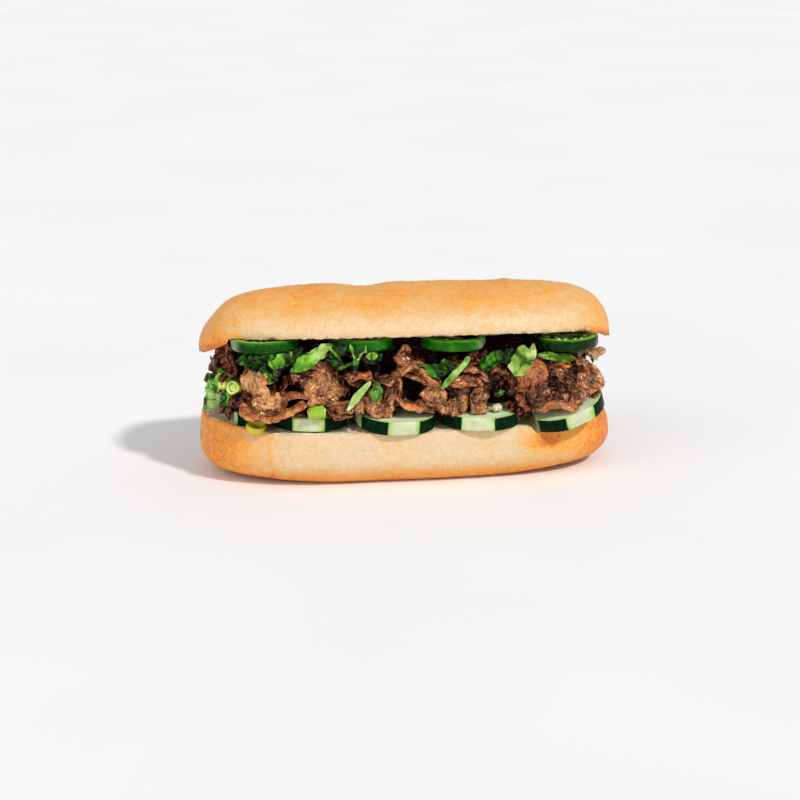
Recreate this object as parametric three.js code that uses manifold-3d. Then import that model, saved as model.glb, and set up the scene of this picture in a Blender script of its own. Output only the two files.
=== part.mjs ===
// A filled bread roll. The two halves of a split roll hold a heap of sliced beef, with rounds
// of cucumber on the lower half, rounds of green chilli under the lid, and herb leaves, stalks
// and rings of spring onion among the meat.
// Millimetres, +Z up. The open front faces -Y, and the origin is under the middle of the base.
import * as THREE from 'three';
import { mergeVertices } from 'three/addons/utils/BufferGeometryUtils.js';
import Module from 'manifold-3d';

// Driving dimensions of the roll.
const rollLength = 166;
const rollWidth = 69;
const planExponent = 2.7; // 2 is an ellipse, more is squarer at the corners
const bulgeHeight = 12;
const rimHeight = 22;
const rimInset = 1.5;
const footInset = 11;
const leftRimRise = 3.2;
const rightRimRise = -1;
const rimRiseFrom = 50; // the distance from the middle where the rim starts to rise or fall
const heelRise = 2.2; // the base curls up towards the two ends
const heelFrom = 28;
const lidHeight = 53.3; // the middle of the lid's cut face above the base
const lidTilt = 11; // degrees, the front lip is up
const lidRoll = 0.5; // degrees, the right end is down
const lidLength = 164.6;
const lidWidth = 67;
const lidDome = 20.8;
const lidDroopLeft = 5.5; // the lid's two ends hang down over the filling
const lidDroopRight = 3;
const lidDroopFrom = 66;
const lidLeftRun = 1.5; // how far the dome's ends run inwards, in half widths
const lidRightRun = 1.2;
const lidLeftRound = 1.25; // above 1 the end stands steeper at its foot
const lidRightRound = 1.8;
const crustSwell = 0.6; // how far the crust is uneven
const lidSwell = 0.8;
const crumbDepth = 0.6; // how deep the torn crumb of the cut faces is
const crumbFineness = 4; // the crumb's waves against the crust's

// Driving dimensions of the filling.
const cucumberThick = 5.5;
const chilliThick = 4.4;
const leafThick = 0.9;
const gap = 0.35; // left between pieces that touch
const heapLength = 146;
const heapWidth = 54;
const heapLump = 1.6;
const heapHeadroom = 3; // between the heap's own middle and the lid
const courses = 3; // of beef slices round the ends and the back
const slicesPerCourse = 8;

// How finely the pieces are divided.
const planSteps = 52;
const heapSteps = 28;
const stripeSteps = 3;
const ringSteps = 12;
const sliver = 0.04; // flatter triangles are merged after a cut

const wasm = await Module();
wasm.setup();
const { Manifold, Mesh: SolidMesh } = wasm;

const degrees = THREE.MathUtils.degToRad;

// 0 up to the first value and 1 from the second on, with a smooth rise between them.
function rises(from, to, value) {
  return THREE.MathUtils.smoothstep(value, from, to);
}

// A power that keeps the sign: an ellipse's cosine and sine become the roll's squarer ones.
function squarer(value) {
  return Math.sign(value) * Math.abs(value) ** (2 / planExponent);
}

// The same draws in the same order every time.
let seed = 20;

function random(low, high) {
  seed = (seed * 1664525 + 1013904223) % 4294967296;
  return low + (high - low) * (seed / 4294967296);
}

// ---------- surfaces and solids ----------

// Joins equal points and drops the triangles that have closed to a line.
function welded(surface) {
  surface.deleteAttribute('normal');
  surface.deleteAttribute('uv');
  const joined = mergeVertices(surface, 1e-3);
  const corners = joined.index.array;
  const kept = [];
  for (let i = 0; i < corners.length; i += 3) {
    const [a, b, c] = [corners[i], corners[i + 1], corners[i + 2]];
    if (a !== b && b !== c && c !== a) {
      kept.push(a, b, c);
    }
  }
  joined.setIndex(kept);
  return joined;
}

// A plane of columns by rows wrapped round the Z axis: pointAt(column, row) gives each corner.
// The rows run from the lowest pole or ridge to the highest.
function wrapped(columns, rows, pointAt) {
  const surface = new THREE.PlaneGeometry(1, 1, columns, rows);
  const place = surface.attributes.position;
  const uv = surface.attributes.uv;
  for (let i = 0; i < place.count; i += 1) {
    const column = Math.round(uv.getX(i) * columns) % columns;
    const row = Math.round(uv.getY(i) * rows);
    place.setXYZ(i, ...pointAt(column, row));
  }
  return welded(surface);
}

// The plan of a roll at one step of its outline, from -1 to 1 along and across. The steps of
// one quarter are mirrored into the others, so that the two long sides match.
function planAt(column, steps) {
  const quarter = steps / 4;
  const folded = quarter - Math.abs((column % (2 * quarter)) - quarter);
  const angle = (folded / quarter) * (Math.PI / 2);
  const alongSign = column > quarter && column < 3 * quarter ? -1 : 1;
  const acrossSign = column > 2 * quarter ? -1 : 1;
  const along = folded === quarter ? 0 : alongSign * squarer(Math.cos(angle));
  const across = folded === 0 ? 0 : acrossSign * squarer(Math.sin(angle));
  return [along, across];
}

function toSolid(geometry, matrix) {
  const placed = geometry.clone().applyMatrix4(matrix);
  return new Manifold(new SolidMesh({
    numProp: 3,
    vertProperties: new Float32Array(placed.attributes.position.array),
    triVerts: new Uint32Array(placed.index.array),
  }));
}

function toGeometry(solid, matrix) {
  const mesh = solid.getMesh();
  const geometry = new THREE.BufferGeometry();
  geometry.setAttribute('position', new THREE.BufferAttribute(mesh.vertProperties, 3));
  geometry.setIndex(new THREE.BufferAttribute(mesh.triVerts, 1));
  return geometry.applyMatrix4(matrix.clone().invert());
}

// A join or cut can leave slivers, loose scraps and sealed hollows: triangles that are flatter
// than the sliver height are merged, and only the outer skin of the largest body stays.
function tidied(solid) {
  const bodies = solid.asOriginal().simplify(sliver).decompose();
  bodies.sort((a, b) => b.volume() - a.volume());
  return bodies[0];
}

// ---------- materials ----------

function finish(color, roughness) {
  return new THREE.MeshStandardMaterial({ color, roughness, metalness: 0 });
}

const finishes = {
  crust: finish(0xf3c98f, 0.6),
  beef: finish(0x7a4a30, 0.5),
  cucumber: finish(0xd6e8b4, 0.4),
  chilli: finish(0x3f9a35, 0.3),
  herb: finish(0x4f9a3a, 0.5),
  onion: finish(0xc3dd55, 0.4),
  garlic: finish(0xe6dcc0, 0.5),
};

// ---------- the two halves of the roll ----------

// Soft uneven swells of a hand-shaped loaf, from -1 to 1: long waves with short ones on them.
function swell(x, y, phase) {
  const long = Math.sin(x * 0.055 + phase) * Math.cos(y * 0.07 - phase);
  const short = Math.sin(x * 0.13 - 2 * phase) * Math.sin(y * 0.11 + phase);
  return 0.65 * long + 0.35 * short;
}

// The torn crumb of a cut face, which is the same swell at a finer scale.
function tornCrumb(x, y, phase) {
  return crumbDepth * (swell(x * crumbFineness, y * crumbFineness, phase) - 1);
}

function bottomHalf() {
  const halfLength = rollLength / 2;
  const halfWidth = rollWidth / 2;
  const profile = [{ inset: halfWidth, z: 0 }, { inset: footInset, z: 0 }];
  for (const turn of [25, 50, 72, 90]) {
    const inset = footInset * (1 - Math.sin(degrees(turn)));
    profile.push({ inset, z: bulgeHeight * (1 - Math.cos(degrees(turn))), crust: 1 });
  }
  profile.push({ inset: rimInset * 0.35, z: bulgeHeight + 5.5, crust: 0.6 });
  profile.push({ inset: rimInset, z: rimHeight - 0.8, end: 1 });
  profile.push({ inset: rimInset + 1, z: rimHeight, end: 1 });
  profile.push({ inset: 8, z: rimHeight - 0.5, end: 1, crumb: 1 });
  profile.push({ inset: 20, z: rimHeight - 0.7, end: 1, crumb: 1 });
  profile.push({ inset: halfWidth, z: rimHeight - 0.7, end: 1, crumb: 0.6 });
  return wrapped(planSteps, profile.length - 1, (column, row) => {
    const { inset, z, crust = 0, end = 0, crumb = 0 } = profile[row];
    const [along, across] = planAt(column, planSteps);
    const x = (halfLength - inset) * along;
    const y = (halfWidth - inset) * across;
    const away = Math.abs(x);
    const bulge = crustSwell * crust * (swell(x, y, 1.3) - 0.4);
    const low = Math.max(0, 1 - z / bulgeHeight);
    const heel = heelRise * low * rises(heelFrom, halfLength - 3, away);
    const rimRise = along < 0 ? leftRimRise : rightRimRise;
    const endRise = end * rimRise * rises(rimRiseFrom, halfLength - 3, away);
    const lift = heel + endRise + crumb * tornCrumb(x, y, 0.4);
    return [x + bulge * along, y + bulge * across, z + lift];
  });
}

// The lid in its own frame: its cut face is near z = 0 and its crown is up.
function lidHalf() {
  const halfLength = lidLength / 2;
  const halfWidth = lidWidth / 2;
  const profile = [
    { inset: halfWidth, z: 1.5 },
    { inset: 20, z: 2.1, crumb: 1 },
    { inset: 8, z: 1.7, crumb: 1 },
    { inset: 2.6, z: 0.2, droop: 0.6 },
    { inset: 0.6, z: 0, droop: 1 },
  ];
  for (const turn of [8, 20, 34, 50, 68, 90]) {
    const inset = halfWidth * (1 - Math.cos(degrees(turn)));
    const droop = Math.cos(degrees(turn)) ** 2;
    profile.push({ inset, z: lidDome * Math.sin(degrees(turn)), droop, crust: 1 });
  }
  return wrapped(planSteps, profile.length - 1, (column, row) => {
    const { inset, z, crust = 0, droop = 0, crumb = 0 } = profile[row];
    const [along, across] = planAt(column, planSteps);
    const [run, round] = along > 0 ? [lidRightRun, lidRightRound] : [lidLeftRun, lidLeftRound];
    const x = (halfLength - halfWidth * run * (inset / halfWidth) ** round) * along;
    const y = (halfWidth - inset) * across;
    const lift = lidSwell * crust * swell(x, y, 2.6) * rises(0, 8, z);
    const drop = along < 0 ? lidDroopLeft : lidDroopRight;
    const chin = droop * drop * rises(lidDroopFrom, halfLength, Math.abs(x));
    return [x, y, z + lift - chin + crumb * tornCrumb(x, y, 1.9)];
  });
}

// ---------- rounds of cucumber and chilli ----------

// A cucumber round: strips of peel alternate with flats where the peel was pared away. A round
// with a cut is sliced off straight at that distance on its left.
function cucumberRound({ radius, stripes, from, cut = -radius }, grow = 0) {
  const columns = 2 * stripes * stripeSteps;
  const half = cucumberThick / 2 + grow;
  const flat = 0.5 * (1 - Math.cos(Math.PI / (2 * stripes)));
  return wrapped(columns, 3, (column, row) => {
    const strip = Math.floor(column / stripeSteps);
    const across = (column % stripeSteps) / stripeSteps;
    const pared = strip % 2 === 1 ? Math.sin(Math.PI * across) * flat : 0;
    const reach = row === 0 || row === 3 ? 0 : radius * (1 - pared) + grow;
    const angle = degrees(from) + (2 * Math.PI * column) / columns;
    const x = Math.max(reach * Math.cos(angle), cut - grow);
    return [x, reach * Math.sin(angle), row < 2 ? -half : half];
  });
}

// A chilli round: a slightly lobed ring of flesh with a sunken middle on both faces.
function chilliRound({ radius, lobe }, grow = 0) {
  const half = chilliThick / 2;
  const profile = [
    { part: 0, z: -half + 0.6 - grow },
    { part: 0.62, z: -half + 0.8 - grow },
    { part: 0.76, z: -half - grow },
    { part: 0.97, z: -half - grow },
    { part: 1, z: 0 },
    { part: 0.97, z: half + grow },
    { part: 0.76, z: half + grow },
    { part: 0.62, z: half - 0.8 + grow },
    { part: 0, z: half - 0.6 + grow },
  ];
  return wrapped(ringSteps, profile.length - 1, (column, row) => {
    const angle = (2 * Math.PI * column) / ringSteps;
    const lobed = 1 + 0.025 * Math.cos(3 * angle + lobe) + 0.02 * Math.sin(2 * angle - lobe);
    const { part, z } = profile[row];
    const reach = part * radius * lobed + (part > 0 ? grow : 0);
    return [reach * Math.cos(angle), reach * Math.sin(angle), z];
  });
}

// ---------- slices of beef, leaves and rings ----------

// A thin slab bent along its length into an arc, with a wavy middle surface, a wavering
// outline and thinner edges. Length runs along X, width along Y, and the bend lifts both ends.
function bentSlab({ size, bend = 1, ripple = 0, phase = 0, point = 0.35 }, steps, grow = 0) {
  const [length, width, thick] = size;
  const slab = new THREE.BoxGeometry(1, 1, 1, steps[0], steps[1], 1);
  const place = slab.attributes.position;
  const turn = degrees(bend);
  const radius = length / turn;
  for (let i = 0; i < place.count; i += 1) {
    const s = place.getX(i);
    const t = place.getY(i);
    const side = 2 * place.getZ(i);
    const edge = Math.max(Math.abs(2 * s), Math.abs(2 * t));
    const taper = 1 - point * Math.abs(2 * s) ** 3 + 0.12 * Math.sin(9 * s + phase);
    const wave = ripple * (Math.sin(11 * s + 2 * phase) + 0.7 * Math.sin(7 * t - phase));
    const half = (thick / 2) * Math.sqrt(1 - 0.75 * edge ** 4) + grow;
    const offset = wave + half * side;
    const angle = turn * s * (1 + (2 * grow) / length);
    place.setXYZ(
      i,
      (radius - offset) * Math.sin(angle),
      (width + 2 * grow) * t * taper,
      radius * (1 - Math.cos(angle)) + offset * Math.cos(angle),
    );
  }
  return welded(slab);
}

// A ring cut from a hollow stalk. The section closes on itself.
function stalkRing({ radius, wall, height }, grow = 0) {
  const inner = radius - wall - grow;
  const outer = radius + grow;
  const half = height / 2 + grow;
  const section = [[inner, -half], [outer, -half], [outer, half], [inner, half], [inner, -half]];
  const points = section.map(([r, z]) => new THREE.Vector2(r, z));
  const ring = new THREE.LatheGeometry(points, ringSteps);
  ring.rotateX(Math.PI / 2);
  return welded(ring);
}

// ---------- where the pieces lie ----------

const cucumberRests = rimHeight + gap + cucumberThick / 2;

const frontCucumbers = [
  { at: [-63.9, -12.8, 0.4], turn: [0, 2, 0], radius: 7.8, stripes: 2, from: -128 },
  { at: [-39.5, -13.5, 0.1], turn: [1, 1, 0], radius: 16.2, stripes: 4, from: -166 },
  { at: [-6.9, -20.8, 0], turn: [3.5, 2.5, 0], radius: 16.2, stripes: 4, from: -152 },
  { at: [26.8, -20.2, 0.1], turn: [2.5, 0.5, 0], radius: 16.8, stripes: 4, from: -169 },
  { at: [60.4, -21, 1.4], turn: [9, -16, 0], radius: 16.2, stripes: 4, from: -141, cut: -12.5 },
];

const backCucumbers = [
  { at: [-63, 14, 0.6], turn: [-1, 3, 0], radius: 13.5, stripes: 3, from: 20 },
  { at: [-33, 19.5, 0.4], turn: [-1.5, 0, 0], radius: 16, stripes: 4, from: 47 },
  { at: [0, 20.8, 0.5], turn: [-2.5, 0, 0], radius: 16.2, stripes: 4, from: 12 },
  { at: [33, 20.5, 0.5], turn: [-2, -1, 0], radius: 16, stripes: 4, from: 70 },
  { at: [63.5, 15, 1], turn: [-1, -4, 0], radius: 14, stripes: 3, from: 35 },
];

// In the lid's frame, just under its cut face.
const chilliHangs = -(gap + chilliThick / 2);

const frontChillies = [
  { at: [-57.5, -18.2, 1.4], turn: [8, 0, 0], radius: 13.6, lobe: 0.4 },
  { at: [-20, -18.4, 0.9], turn: [7, 0, 0], radius: 13, lobe: 2.1 },
  { at: [16.6, -18.6, 0.1], turn: [8, -1, 0], radius: 12.6, lobe: 3.7 },
  { at: [61, -17.8, -0.7], turn: [9, 0, 0], radius: 13.2, lobe: 5.2 },
];

const backChillies = [
  { at: [-52, 17.5, -0.1], turn: [0, 0, 0], radius: 13, lobe: 1.2 },
  { at: [-12, 18.5, -0.2], turn: [1, 0, 0], radius: 13.4, lobe: 4.4 },
  { at: [26, 17.8, -0.1], turn: [0, 0, 0], radius: 12.6, lobe: 0.8 },
  { at: [58, 16.5, -0.3], turn: [1, 0, 0], radius: 12.8, lobe: 2.9 },
];

// Leaves and stalks that show at the open front, from left to right.
const frontHerbs = [
  { at: [-78.3, -12, 34.5], turn: [75, -60, 70], size: [15, 8, leafThick], bend: 70, ripple: 0.5 },
  { at: [-73.4, -19.5, 42.4], turn: [80, -40, 20], size: [10, 6, leafThick], bend: 80, ripple: 0.4 },
  { at: [-57.5, -27.5, 51.9], turn: [55, 0, 4], size: [24, 6.5, leafThick], bend: 30, ripple: 0.7 },
  { at: [-57.3, -31.5, 46.8], turn: [80, 10, -38], size: [9, 4, leafThick], bend: 60, ripple: 0.3 },
  { at: [-40.3, -32, 52.8], turn: [75, 5, 31], size: [20, 6, leafThick], bend: -50, ripple: 0.5 },
  { at: [-23.4, -31, 51], turn: [90, 0, 84], size: [10, 2.4, 1.3], bend: 20, ripple: 0.1 },
  { at: [-16.8, -30.5, 51.4], turn: [70, 10, 20], size: [8, 5, leafThick], bend: 60, ripple: 0.4 },
  { at: [-22.8, -33.4, 37.6], turn: [85, 0, 50], size: [15, 3.2, 1.1], bend: 50, ripple: 0.2 },
  { at: [-15.6, -33.2, 38.8], turn: [80, 20, 75], size: [8, 6, leafThick], bend: -60, ripple: 0.5 },
  { at: [7.5, -32.4, 46], turn: [65, 0, -8], size: [10, 5.5, leafThick], bend: 50, ripple: 0.4 },
  { at: [15.3, -32.6, 44.9], turn: [85, 0, 47], size: [17, 3, 1.1], bend: -30, ripple: 0.3 },
  { at: [29.7, -31, 49], turn: [70, 0, 30], size: [12, 6, leafThick], bend: 70, ripple: 0.6 },
  { at: [41, -31.8, 48.2], turn: [80, -15, 70], size: [13, 9, leafThick], bend: 60, ripple: 0.9 },
  { at: [55.4, -30, 49.2], turn: [60, 0, -9], size: [15, 3.6, leafThick], bend: 25, ripple: 0.3 },
  { at: [64.1, -29, 31.5], turn: [80, 20, 30], size: [5, 3, leafThick], bend: 50, ripple: 0.2 },
];

// The same kinds of leaf at the back and the right end.
const backHerbs = [
  { at: [-55, 27, 43], turn: [-80, 0, 30], size: [18, 7, leafThick], bend: 50, ripple: 0.6 },
  { at: [-24, 30, 39], turn: [-85, 0, -40], size: [15, 5, 1.1], bend: -40, ripple: 0.4 },
  { at: [6, 30, 42], turn: [-75, 0, 15], size: [17, 8, leafThick], bend: 60, ripple: 0.7 },
  { at: [34, 30, 38], turn: [-85, 10, 60], size: [13, 4, 1.1], bend: 30, ripple: 0.3 },
  { at: [58, 26, 41], turn: [-80, 15, -20], size: [17, 8, leafThick], bend: 50, ripple: 0.6 },
  { at: [77, 4, 42], turn: [80, 75, 40], size: [13, 7, leafThick], bend: 60, ripple: 0.5 },
];

const onionRings = [
  { at: [-61.8, -24, 23.6], turn: [10, 4, 0], radius: 3.9, wall: 1.4, height: 2.6 },
  { at: [-38.7, -30.4, 30.4], turn: [0, 86, 4], radius: 2.3, wall: 1, height: 7 },
  { at: [-69.9, -22, 39.4], turn: [70, -30, 0], radius: 2.9, wall: 1.3, height: 3.2 },
  { at: [-48, 29, 30.6], turn: [6, 0, 0], radius: 3.8, wall: 1.3, height: 2.8 },
  { at: [20, 30.8, 30.8], turn: [10, 8, 0], radius: 3.4, wall: 1.2, height: 3.2 },
];

const garlicBit = { at: [32.2, -29.5, 29.5], turn: [20, 10, 30], size: [4, 3, 2.4], bend: 10 };

// Slices of beef that stand out at the front, from left to right: broad folded slices on the
// left, small knotted ones in the middle and thick dark ones on the right.
const frontSlices = [
  { at: [-72.5, -17, 48.5], turn: [80, -50, 75], size: [17, 12, 4], bend: 60, ripple: 0.7 },
  { at: [-74.5, -5, 41], turn: [80, -80, 40], size: [18, 13, 4], bend: 50, ripple: 0.7 },
  { at: [-67, -23.5, 34.5], turn: [70, -20, 30], size: [10, 8, 3.4], bend: 50, ripple: 0.4 },
  { at: [-62.8, -27.2, 40.6], turn: [0, 90, 0], facing: 48, size: [22, 12, 3], bend: 120, ripple: 0.4 },
  { at: [-57.5, -27, 47.6], turn: [55, 0, -16], size: [13, 7, 3.2], bend: 60, ripple: 0.4 },
  { at: [-54.5, -30, 30.6], turn: [28, -8, 0], size: [29, 8, 3], bend: 62, ripple: 0.4 },
  { at: [-48, -28.5, 36.6], turn: [40, -8, 0], size: [20, 9, 3], bend: 20, ripple: 0.4 },
  { at: [-36, -29, 41.2], turn: [72, 14, -36], size: [26, 17, 3.4], bend: -62, ripple: 0.6 },
  { at: [-29.3, -28.5, 30.6], turn: [70, 0, -15], size: [11, 6, 4], bend: 40, ripple: 0.4 },
  { at: [-21, -27.5, 44.6], turn: [70, 10, 20], size: [14, 8, 3.2], bend: 70, ripple: 0.5 },
  { at: [-21.8, -29, 33.4], turn: [65, 0, 25], size: [12, 7, 4], bend: 50, ripple: 0.4 },
  { at: [-14.2, -29.5, 32], turn: [72, 10, -20], size: [12, 8, 4.4], bend: 60, ripple: 0.5 },
  { at: [-9, -28.5, 38], turn: [60, 0, 78], size: [18, 7, 3.4], bend: -70, ripple: 0.5 },
  { at: [-4.5, -28.5, 50.2], turn: [80, 0, 80], size: [11, 7, 4], bend: 40, ripple: 0.4 },
  { at: [1.4, -28, 45.2], turn: [42, 6, -14], size: [20, 10, 3.8], bend: -70, ripple: 0.6 },
  { at: [0, -29, 31.6], turn: [20, 14, -6], size: [16, 8, 3], bend: 30, ripple: 0.4 },
  { at: [8, -29.5, 36], turn: [75, -10, -66], size: [18, 9, 4.4], bend: -60, ripple: 0.5 },
  { at: [17, -29, 32.4], turn: [75, 0, 60], size: [10, 8, 4.4], bend: 50, ripple: 0.5 },
  { at: [18.6, -29, 38.6], turn: [60, 0, 14], size: [14, 7, 4.2], bend: -50, ripple: 0.4 },
  { at: [23.2, -28.5, 43.4], turn: [50, 0, -24], size: [17, 8, 4], bend: -60, ripple: 0.5 },
  { at: [25.6, -29.5, 33], turn: [80, 10, 82], size: [12, 8, 4.4], bend: 50, ripple: 0.5 },
  { at: [31.4, -27.5, 41], turn: [75, 0, 70], size: [14, 8, 3.6], bend: 90, ripple: 0.4 },
  { at: [24.6, -27, 50.2], turn: [55, 0, 14], size: [12, 7, 3.4], bend: -40, ripple: 0.4 },
  { at: [44.4, -28, 40.4], turn: [80, -8, 62], size: [20, 16, 5], bend: -60, ripple: 0.9 },
  { at: [42.4, -28, 30.2], turn: [70, 0, 72], size: [13, 8, 5], bend: 40, ripple: 0.6 },
  { at: [54.4, -28, 34.6], turn: [62, 6, 10], size: [24, 12, 5.5], bend: -40, ripple: 0.8 },
  { at: [57, -26, 42.4], turn: [70, 6, -6], size: [24, 13, 4.6], bend: -50, ripple: 0.8 },
  { at: [67, -21.5, 37.8], turn: [78, 28, 70], size: [18, 14, 5], bend: -60, ripple: 0.8 },
  { at: [54, -25, 48], turn: [20, 4, 0], size: [24, 9, 2.4], bend: -20, ripple: 0.3 },
  { at: [70.5, -18, 48.2], turn: [10, 8, -16], size: [14, 8, 2.6], bend: 24, ripple: 0.3 },
];

// ---------- building the sandwich ----------

const sandwich = new THREE.Group();
const lid = new THREE.Group();
lid.position.set(0, 0, lidHeight);
lid.rotation.set(degrees(-lidTilt), degrees(lidRoll), 0);
sandwich.add(lid);

// Every piece that the heap of meat has to leave room for, as a slightly larger solid.
const obstacles = [];

function place(mesh, { at, turn }, parent, baseHeight = 0) {
  mesh.position.set(at[0], at[1], at[2] + baseHeight);
  mesh.rotation.set(degrees(turn[0]), degrees(turn[1]), degrees(turn[2]));
  parent.add(mesh);
  sandwich.updateMatrixWorld(true);
}

// Cuts the mesh clear of everything placed so far, and keeps its own position and rotation.
function cutClear(mesh) {
  let solid = toSolid(mesh.geometry, mesh.matrixWorld);
  for (const obstacle of obstacles) {
    solid = solid.subtract(obstacle);
  }
  mesh.geometry = toGeometry(tidied(solid), mesh.matrixWorld);
}

function addPiece(name, shape, spec, finishName, parent, baseHeight) {
  const mesh = new THREE.Mesh(shape(spec, 0), finishes[finishName]);
  mesh.name = name;
  place(mesh, spec, parent, baseHeight);
  cutClear(mesh);
  obstacles.push(toSolid(shape(spec, gap), mesh.matrixWorld));
}

function addRow(name, specs, shape, finishName, parent, baseHeight) {
  specs.forEach((spec, i) => {
    addPiece(`${name}_${i + 1}`, shape, spec, finishName, parent, baseHeight);
  });
}

function leaf(spec, grow) {
  return bentSlab({ phase: spec.at[0], point: 0.7, ...spec }, [5, 2], grow);
}

function slice(spec, grow) {
  return bentSlab({ phase: spec.at[0], ...spec }, [4, 2], grow);
}

function crumb(spec, grow) {
  return bentSlab(spec, [3, 2], grow);
}

const bottom = new THREE.Mesh(bottomHalf(), finishes.crust);
bottom.name = 'roll_bottom';
sandwich.add(bottom);
const top = new THREE.Mesh(lidHalf(), finishes.crust);
top.name = 'roll_lid';
lid.add(top);

addRow('cucumber_front', frontCucumbers, cucumberRound, 'cucumber', sandwich, cucumberRests);
addRow('cucumber_back', backCucumbers, cucumberRound, 'cucumber', sandwich, cucumberRests);
addRow('chilli_front', frontChillies, chilliRound, 'chilli', lid, chilliHangs);
addRow('chilli_back', backChillies, chilliRound, 'chilli', lid, chilliHangs);

// The roll is soft, so its cut faces give way to what is pressed on them.
cutClear(bottom);
cutClear(top);
for (const [half, away] of [[bottom, gap], [top, -gap]]) {
  const shifted = half.matrixWorld.clone().multiply(new THREE.Matrix4().makeTranslation(0, 0, away));
  obstacles.push(toSolid(half.geometry, half.matrixWorld));
  obstacles.push(toSolid(half.geometry, shifted));
}

addRow('onion_ring', onionRings, stalkRing, 'onion', sandwich);
addPiece('garlic_bit', crumb, garlicBit, 'garlic', sandwich);
addRow('herb_front', frontHerbs, leaf, 'herb', sandwich);
addRow('herb_back', backHerbs, leaf, 'herb', sandwich);

// ---------- the heap of beef ----------

// The heap's own middle: a lumpy mound under the tilted lid.
function heapCore() {
  const halfLength = heapLength / 2;
  const halfWidth = heapWidth / 2;
  const floor = rimHeight + gap + 0.3;
  const profile = [
    { inset: halfWidth, level: 0 },
    { inset: 1.5, level: 0, lumpy: 1 },
    { inset: 0, level: 0.35, lumpy: 1 },
    { inset: 1.5, level: 0.75, lumpy: 1 },
    { inset: 5, level: 1, lumpy: 1 },
    { inset: halfWidth, level: 1 },
  ];
  return wrapped(heapSteps, profile.length - 1, (column, row) => {
    const { inset, level, lumpy = 0 } = profile[row];
    const [along, across] = planAt(column, heapSteps);
    const lump = heapLump * lumpy * Math.sin(column * 2.4 + row * 1.7);
    const x = (halfLength - inset + lump) * along;
    const y = (halfWidth - inset + lump) * across;
    const ceiling = lidHeight - y * Math.tan(degrees(lidTilt)) - heapHeadroom;
    return [x, y, floor + (ceiling - floor) * level];
  });
}

// Slices round the ends and the back of the heap in staggered courses, facing outwards. The
// courses lean with the lid, and leave out the stretch where the front slices stand.
function aroundHeap() {
  const firstCourse = rimHeight + 7;
  const courseRise = 7.7;
  const leanRise = Math.tan(degrees(lidTilt)) / 2.6;
  const specs = [];
  for (let course = 0; course < courses; course += 1) {
    for (let i = 0; i < slicesPerCourse; i += 1) {
      const place = i + course * 0.37 + random(-0.15, 0.15);
      const angle = (place / slicesPerCourse) * 2 * Math.PI;
      const x = (heapLength / 2 - 1) * squarer(Math.cos(angle));
      const y = (heapWidth / 2 - 0.5) * squarer(Math.sin(angle));
      if (y < -18 && Math.abs(x) < 62) {
        continue;
      }
      const z = firstCourse + course * (courseRise - y * leanRise) + random(-1, 1);
      const facing = THREE.MathUtils.radToDeg(Math.atan2(y * 3.4, x)) + 90;
      specs.push({
        at: [x, y, z],
        turn: [random(60, 95), random(-18, 18), random(-70, 70)],
        facing,
        size: [random(15, 24), random(8, 13), random(3, 4.4)],
        bend: random(25, 80) * (random(0, 1) < 0.6 ? -1 : 1),
        ripple: random(0.4, 0.8),
      });
    }
  }
  return specs;
}

// One slice as a solid in the sandwich's frame. Facing turns it about the vertical.
function sliceSolid(spec) {
  const holder = new THREE.Group();
  const mesh = new THREE.Mesh(slice(spec, 0));
  holder.position.set(...spec.at);
  holder.rotation.z = degrees(spec.facing ?? 0);
  mesh.rotation.set(...spec.turn.map(degrees));
  holder.add(mesh);
  holder.updateMatrixWorld(true);
  return toSolid(mesh.geometry, mesh.matrixWorld);
}

const heap = new THREE.Mesh(heapCore(), finishes.beef);
heap.name = 'beef_heap';
sandwich.add(heap);
const unturned = new THREE.Matrix4();
let beef = toSolid(heap.geometry, unturned);
for (const spec of [...frontSlices, ...aroundHeap()]) {
  beef = beef.add(sliceSolid(spec));
}
heap.geometry = toGeometry(beef, unturned);
cutClear(heap);

export default sandwich;
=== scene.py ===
import math

import bmesh
import bpy
import numpy as np
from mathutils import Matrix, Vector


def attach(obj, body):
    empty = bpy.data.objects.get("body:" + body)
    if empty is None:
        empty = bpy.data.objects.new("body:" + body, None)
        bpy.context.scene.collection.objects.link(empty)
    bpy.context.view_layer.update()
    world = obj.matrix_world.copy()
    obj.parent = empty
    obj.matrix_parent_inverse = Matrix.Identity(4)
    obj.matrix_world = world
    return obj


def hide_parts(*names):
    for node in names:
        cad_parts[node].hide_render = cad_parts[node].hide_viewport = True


# A filled bread roll. Shapes are worked out in millimetres and written to the meshes in metres.
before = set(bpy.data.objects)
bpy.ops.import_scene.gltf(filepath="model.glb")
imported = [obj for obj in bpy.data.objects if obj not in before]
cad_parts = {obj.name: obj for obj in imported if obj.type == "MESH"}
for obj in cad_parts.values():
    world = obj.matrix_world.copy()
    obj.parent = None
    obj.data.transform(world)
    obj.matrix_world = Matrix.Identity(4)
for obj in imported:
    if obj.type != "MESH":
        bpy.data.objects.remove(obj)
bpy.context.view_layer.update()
mm = 0.001
gap = 0.35 # left between pieces that touch
wholeWord = 0xFFFFFFFF # the largest number in 32 bits


# Noise. Each function takes points as an array whose last axis is x, y, z, in millimetres.

def latticeValue(cell, seed):
    # A repeatable value from 0 to 1 for each cell: products with large primes, mixed by shifts.
    cell = cell.astype(np.int64)
    mixed = (cell[..., 0] * 73856093) ^ (cell[..., 1] * 19349663) ^ (cell[..., 2] * 83492791)
    mixed = ((mixed ^ (seed * 2654435761)) & wholeWord).astype(np.uint32)
    mixed = (mixed ^ (mixed >> np.uint32(15))) * np.uint32(2246822519)
    mixed = (mixed ^ (mixed >> np.uint32(13))) * np.uint32(3266489917)
    return (mixed ^ (mixed >> np.uint32(16))) / wholeWord


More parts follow.
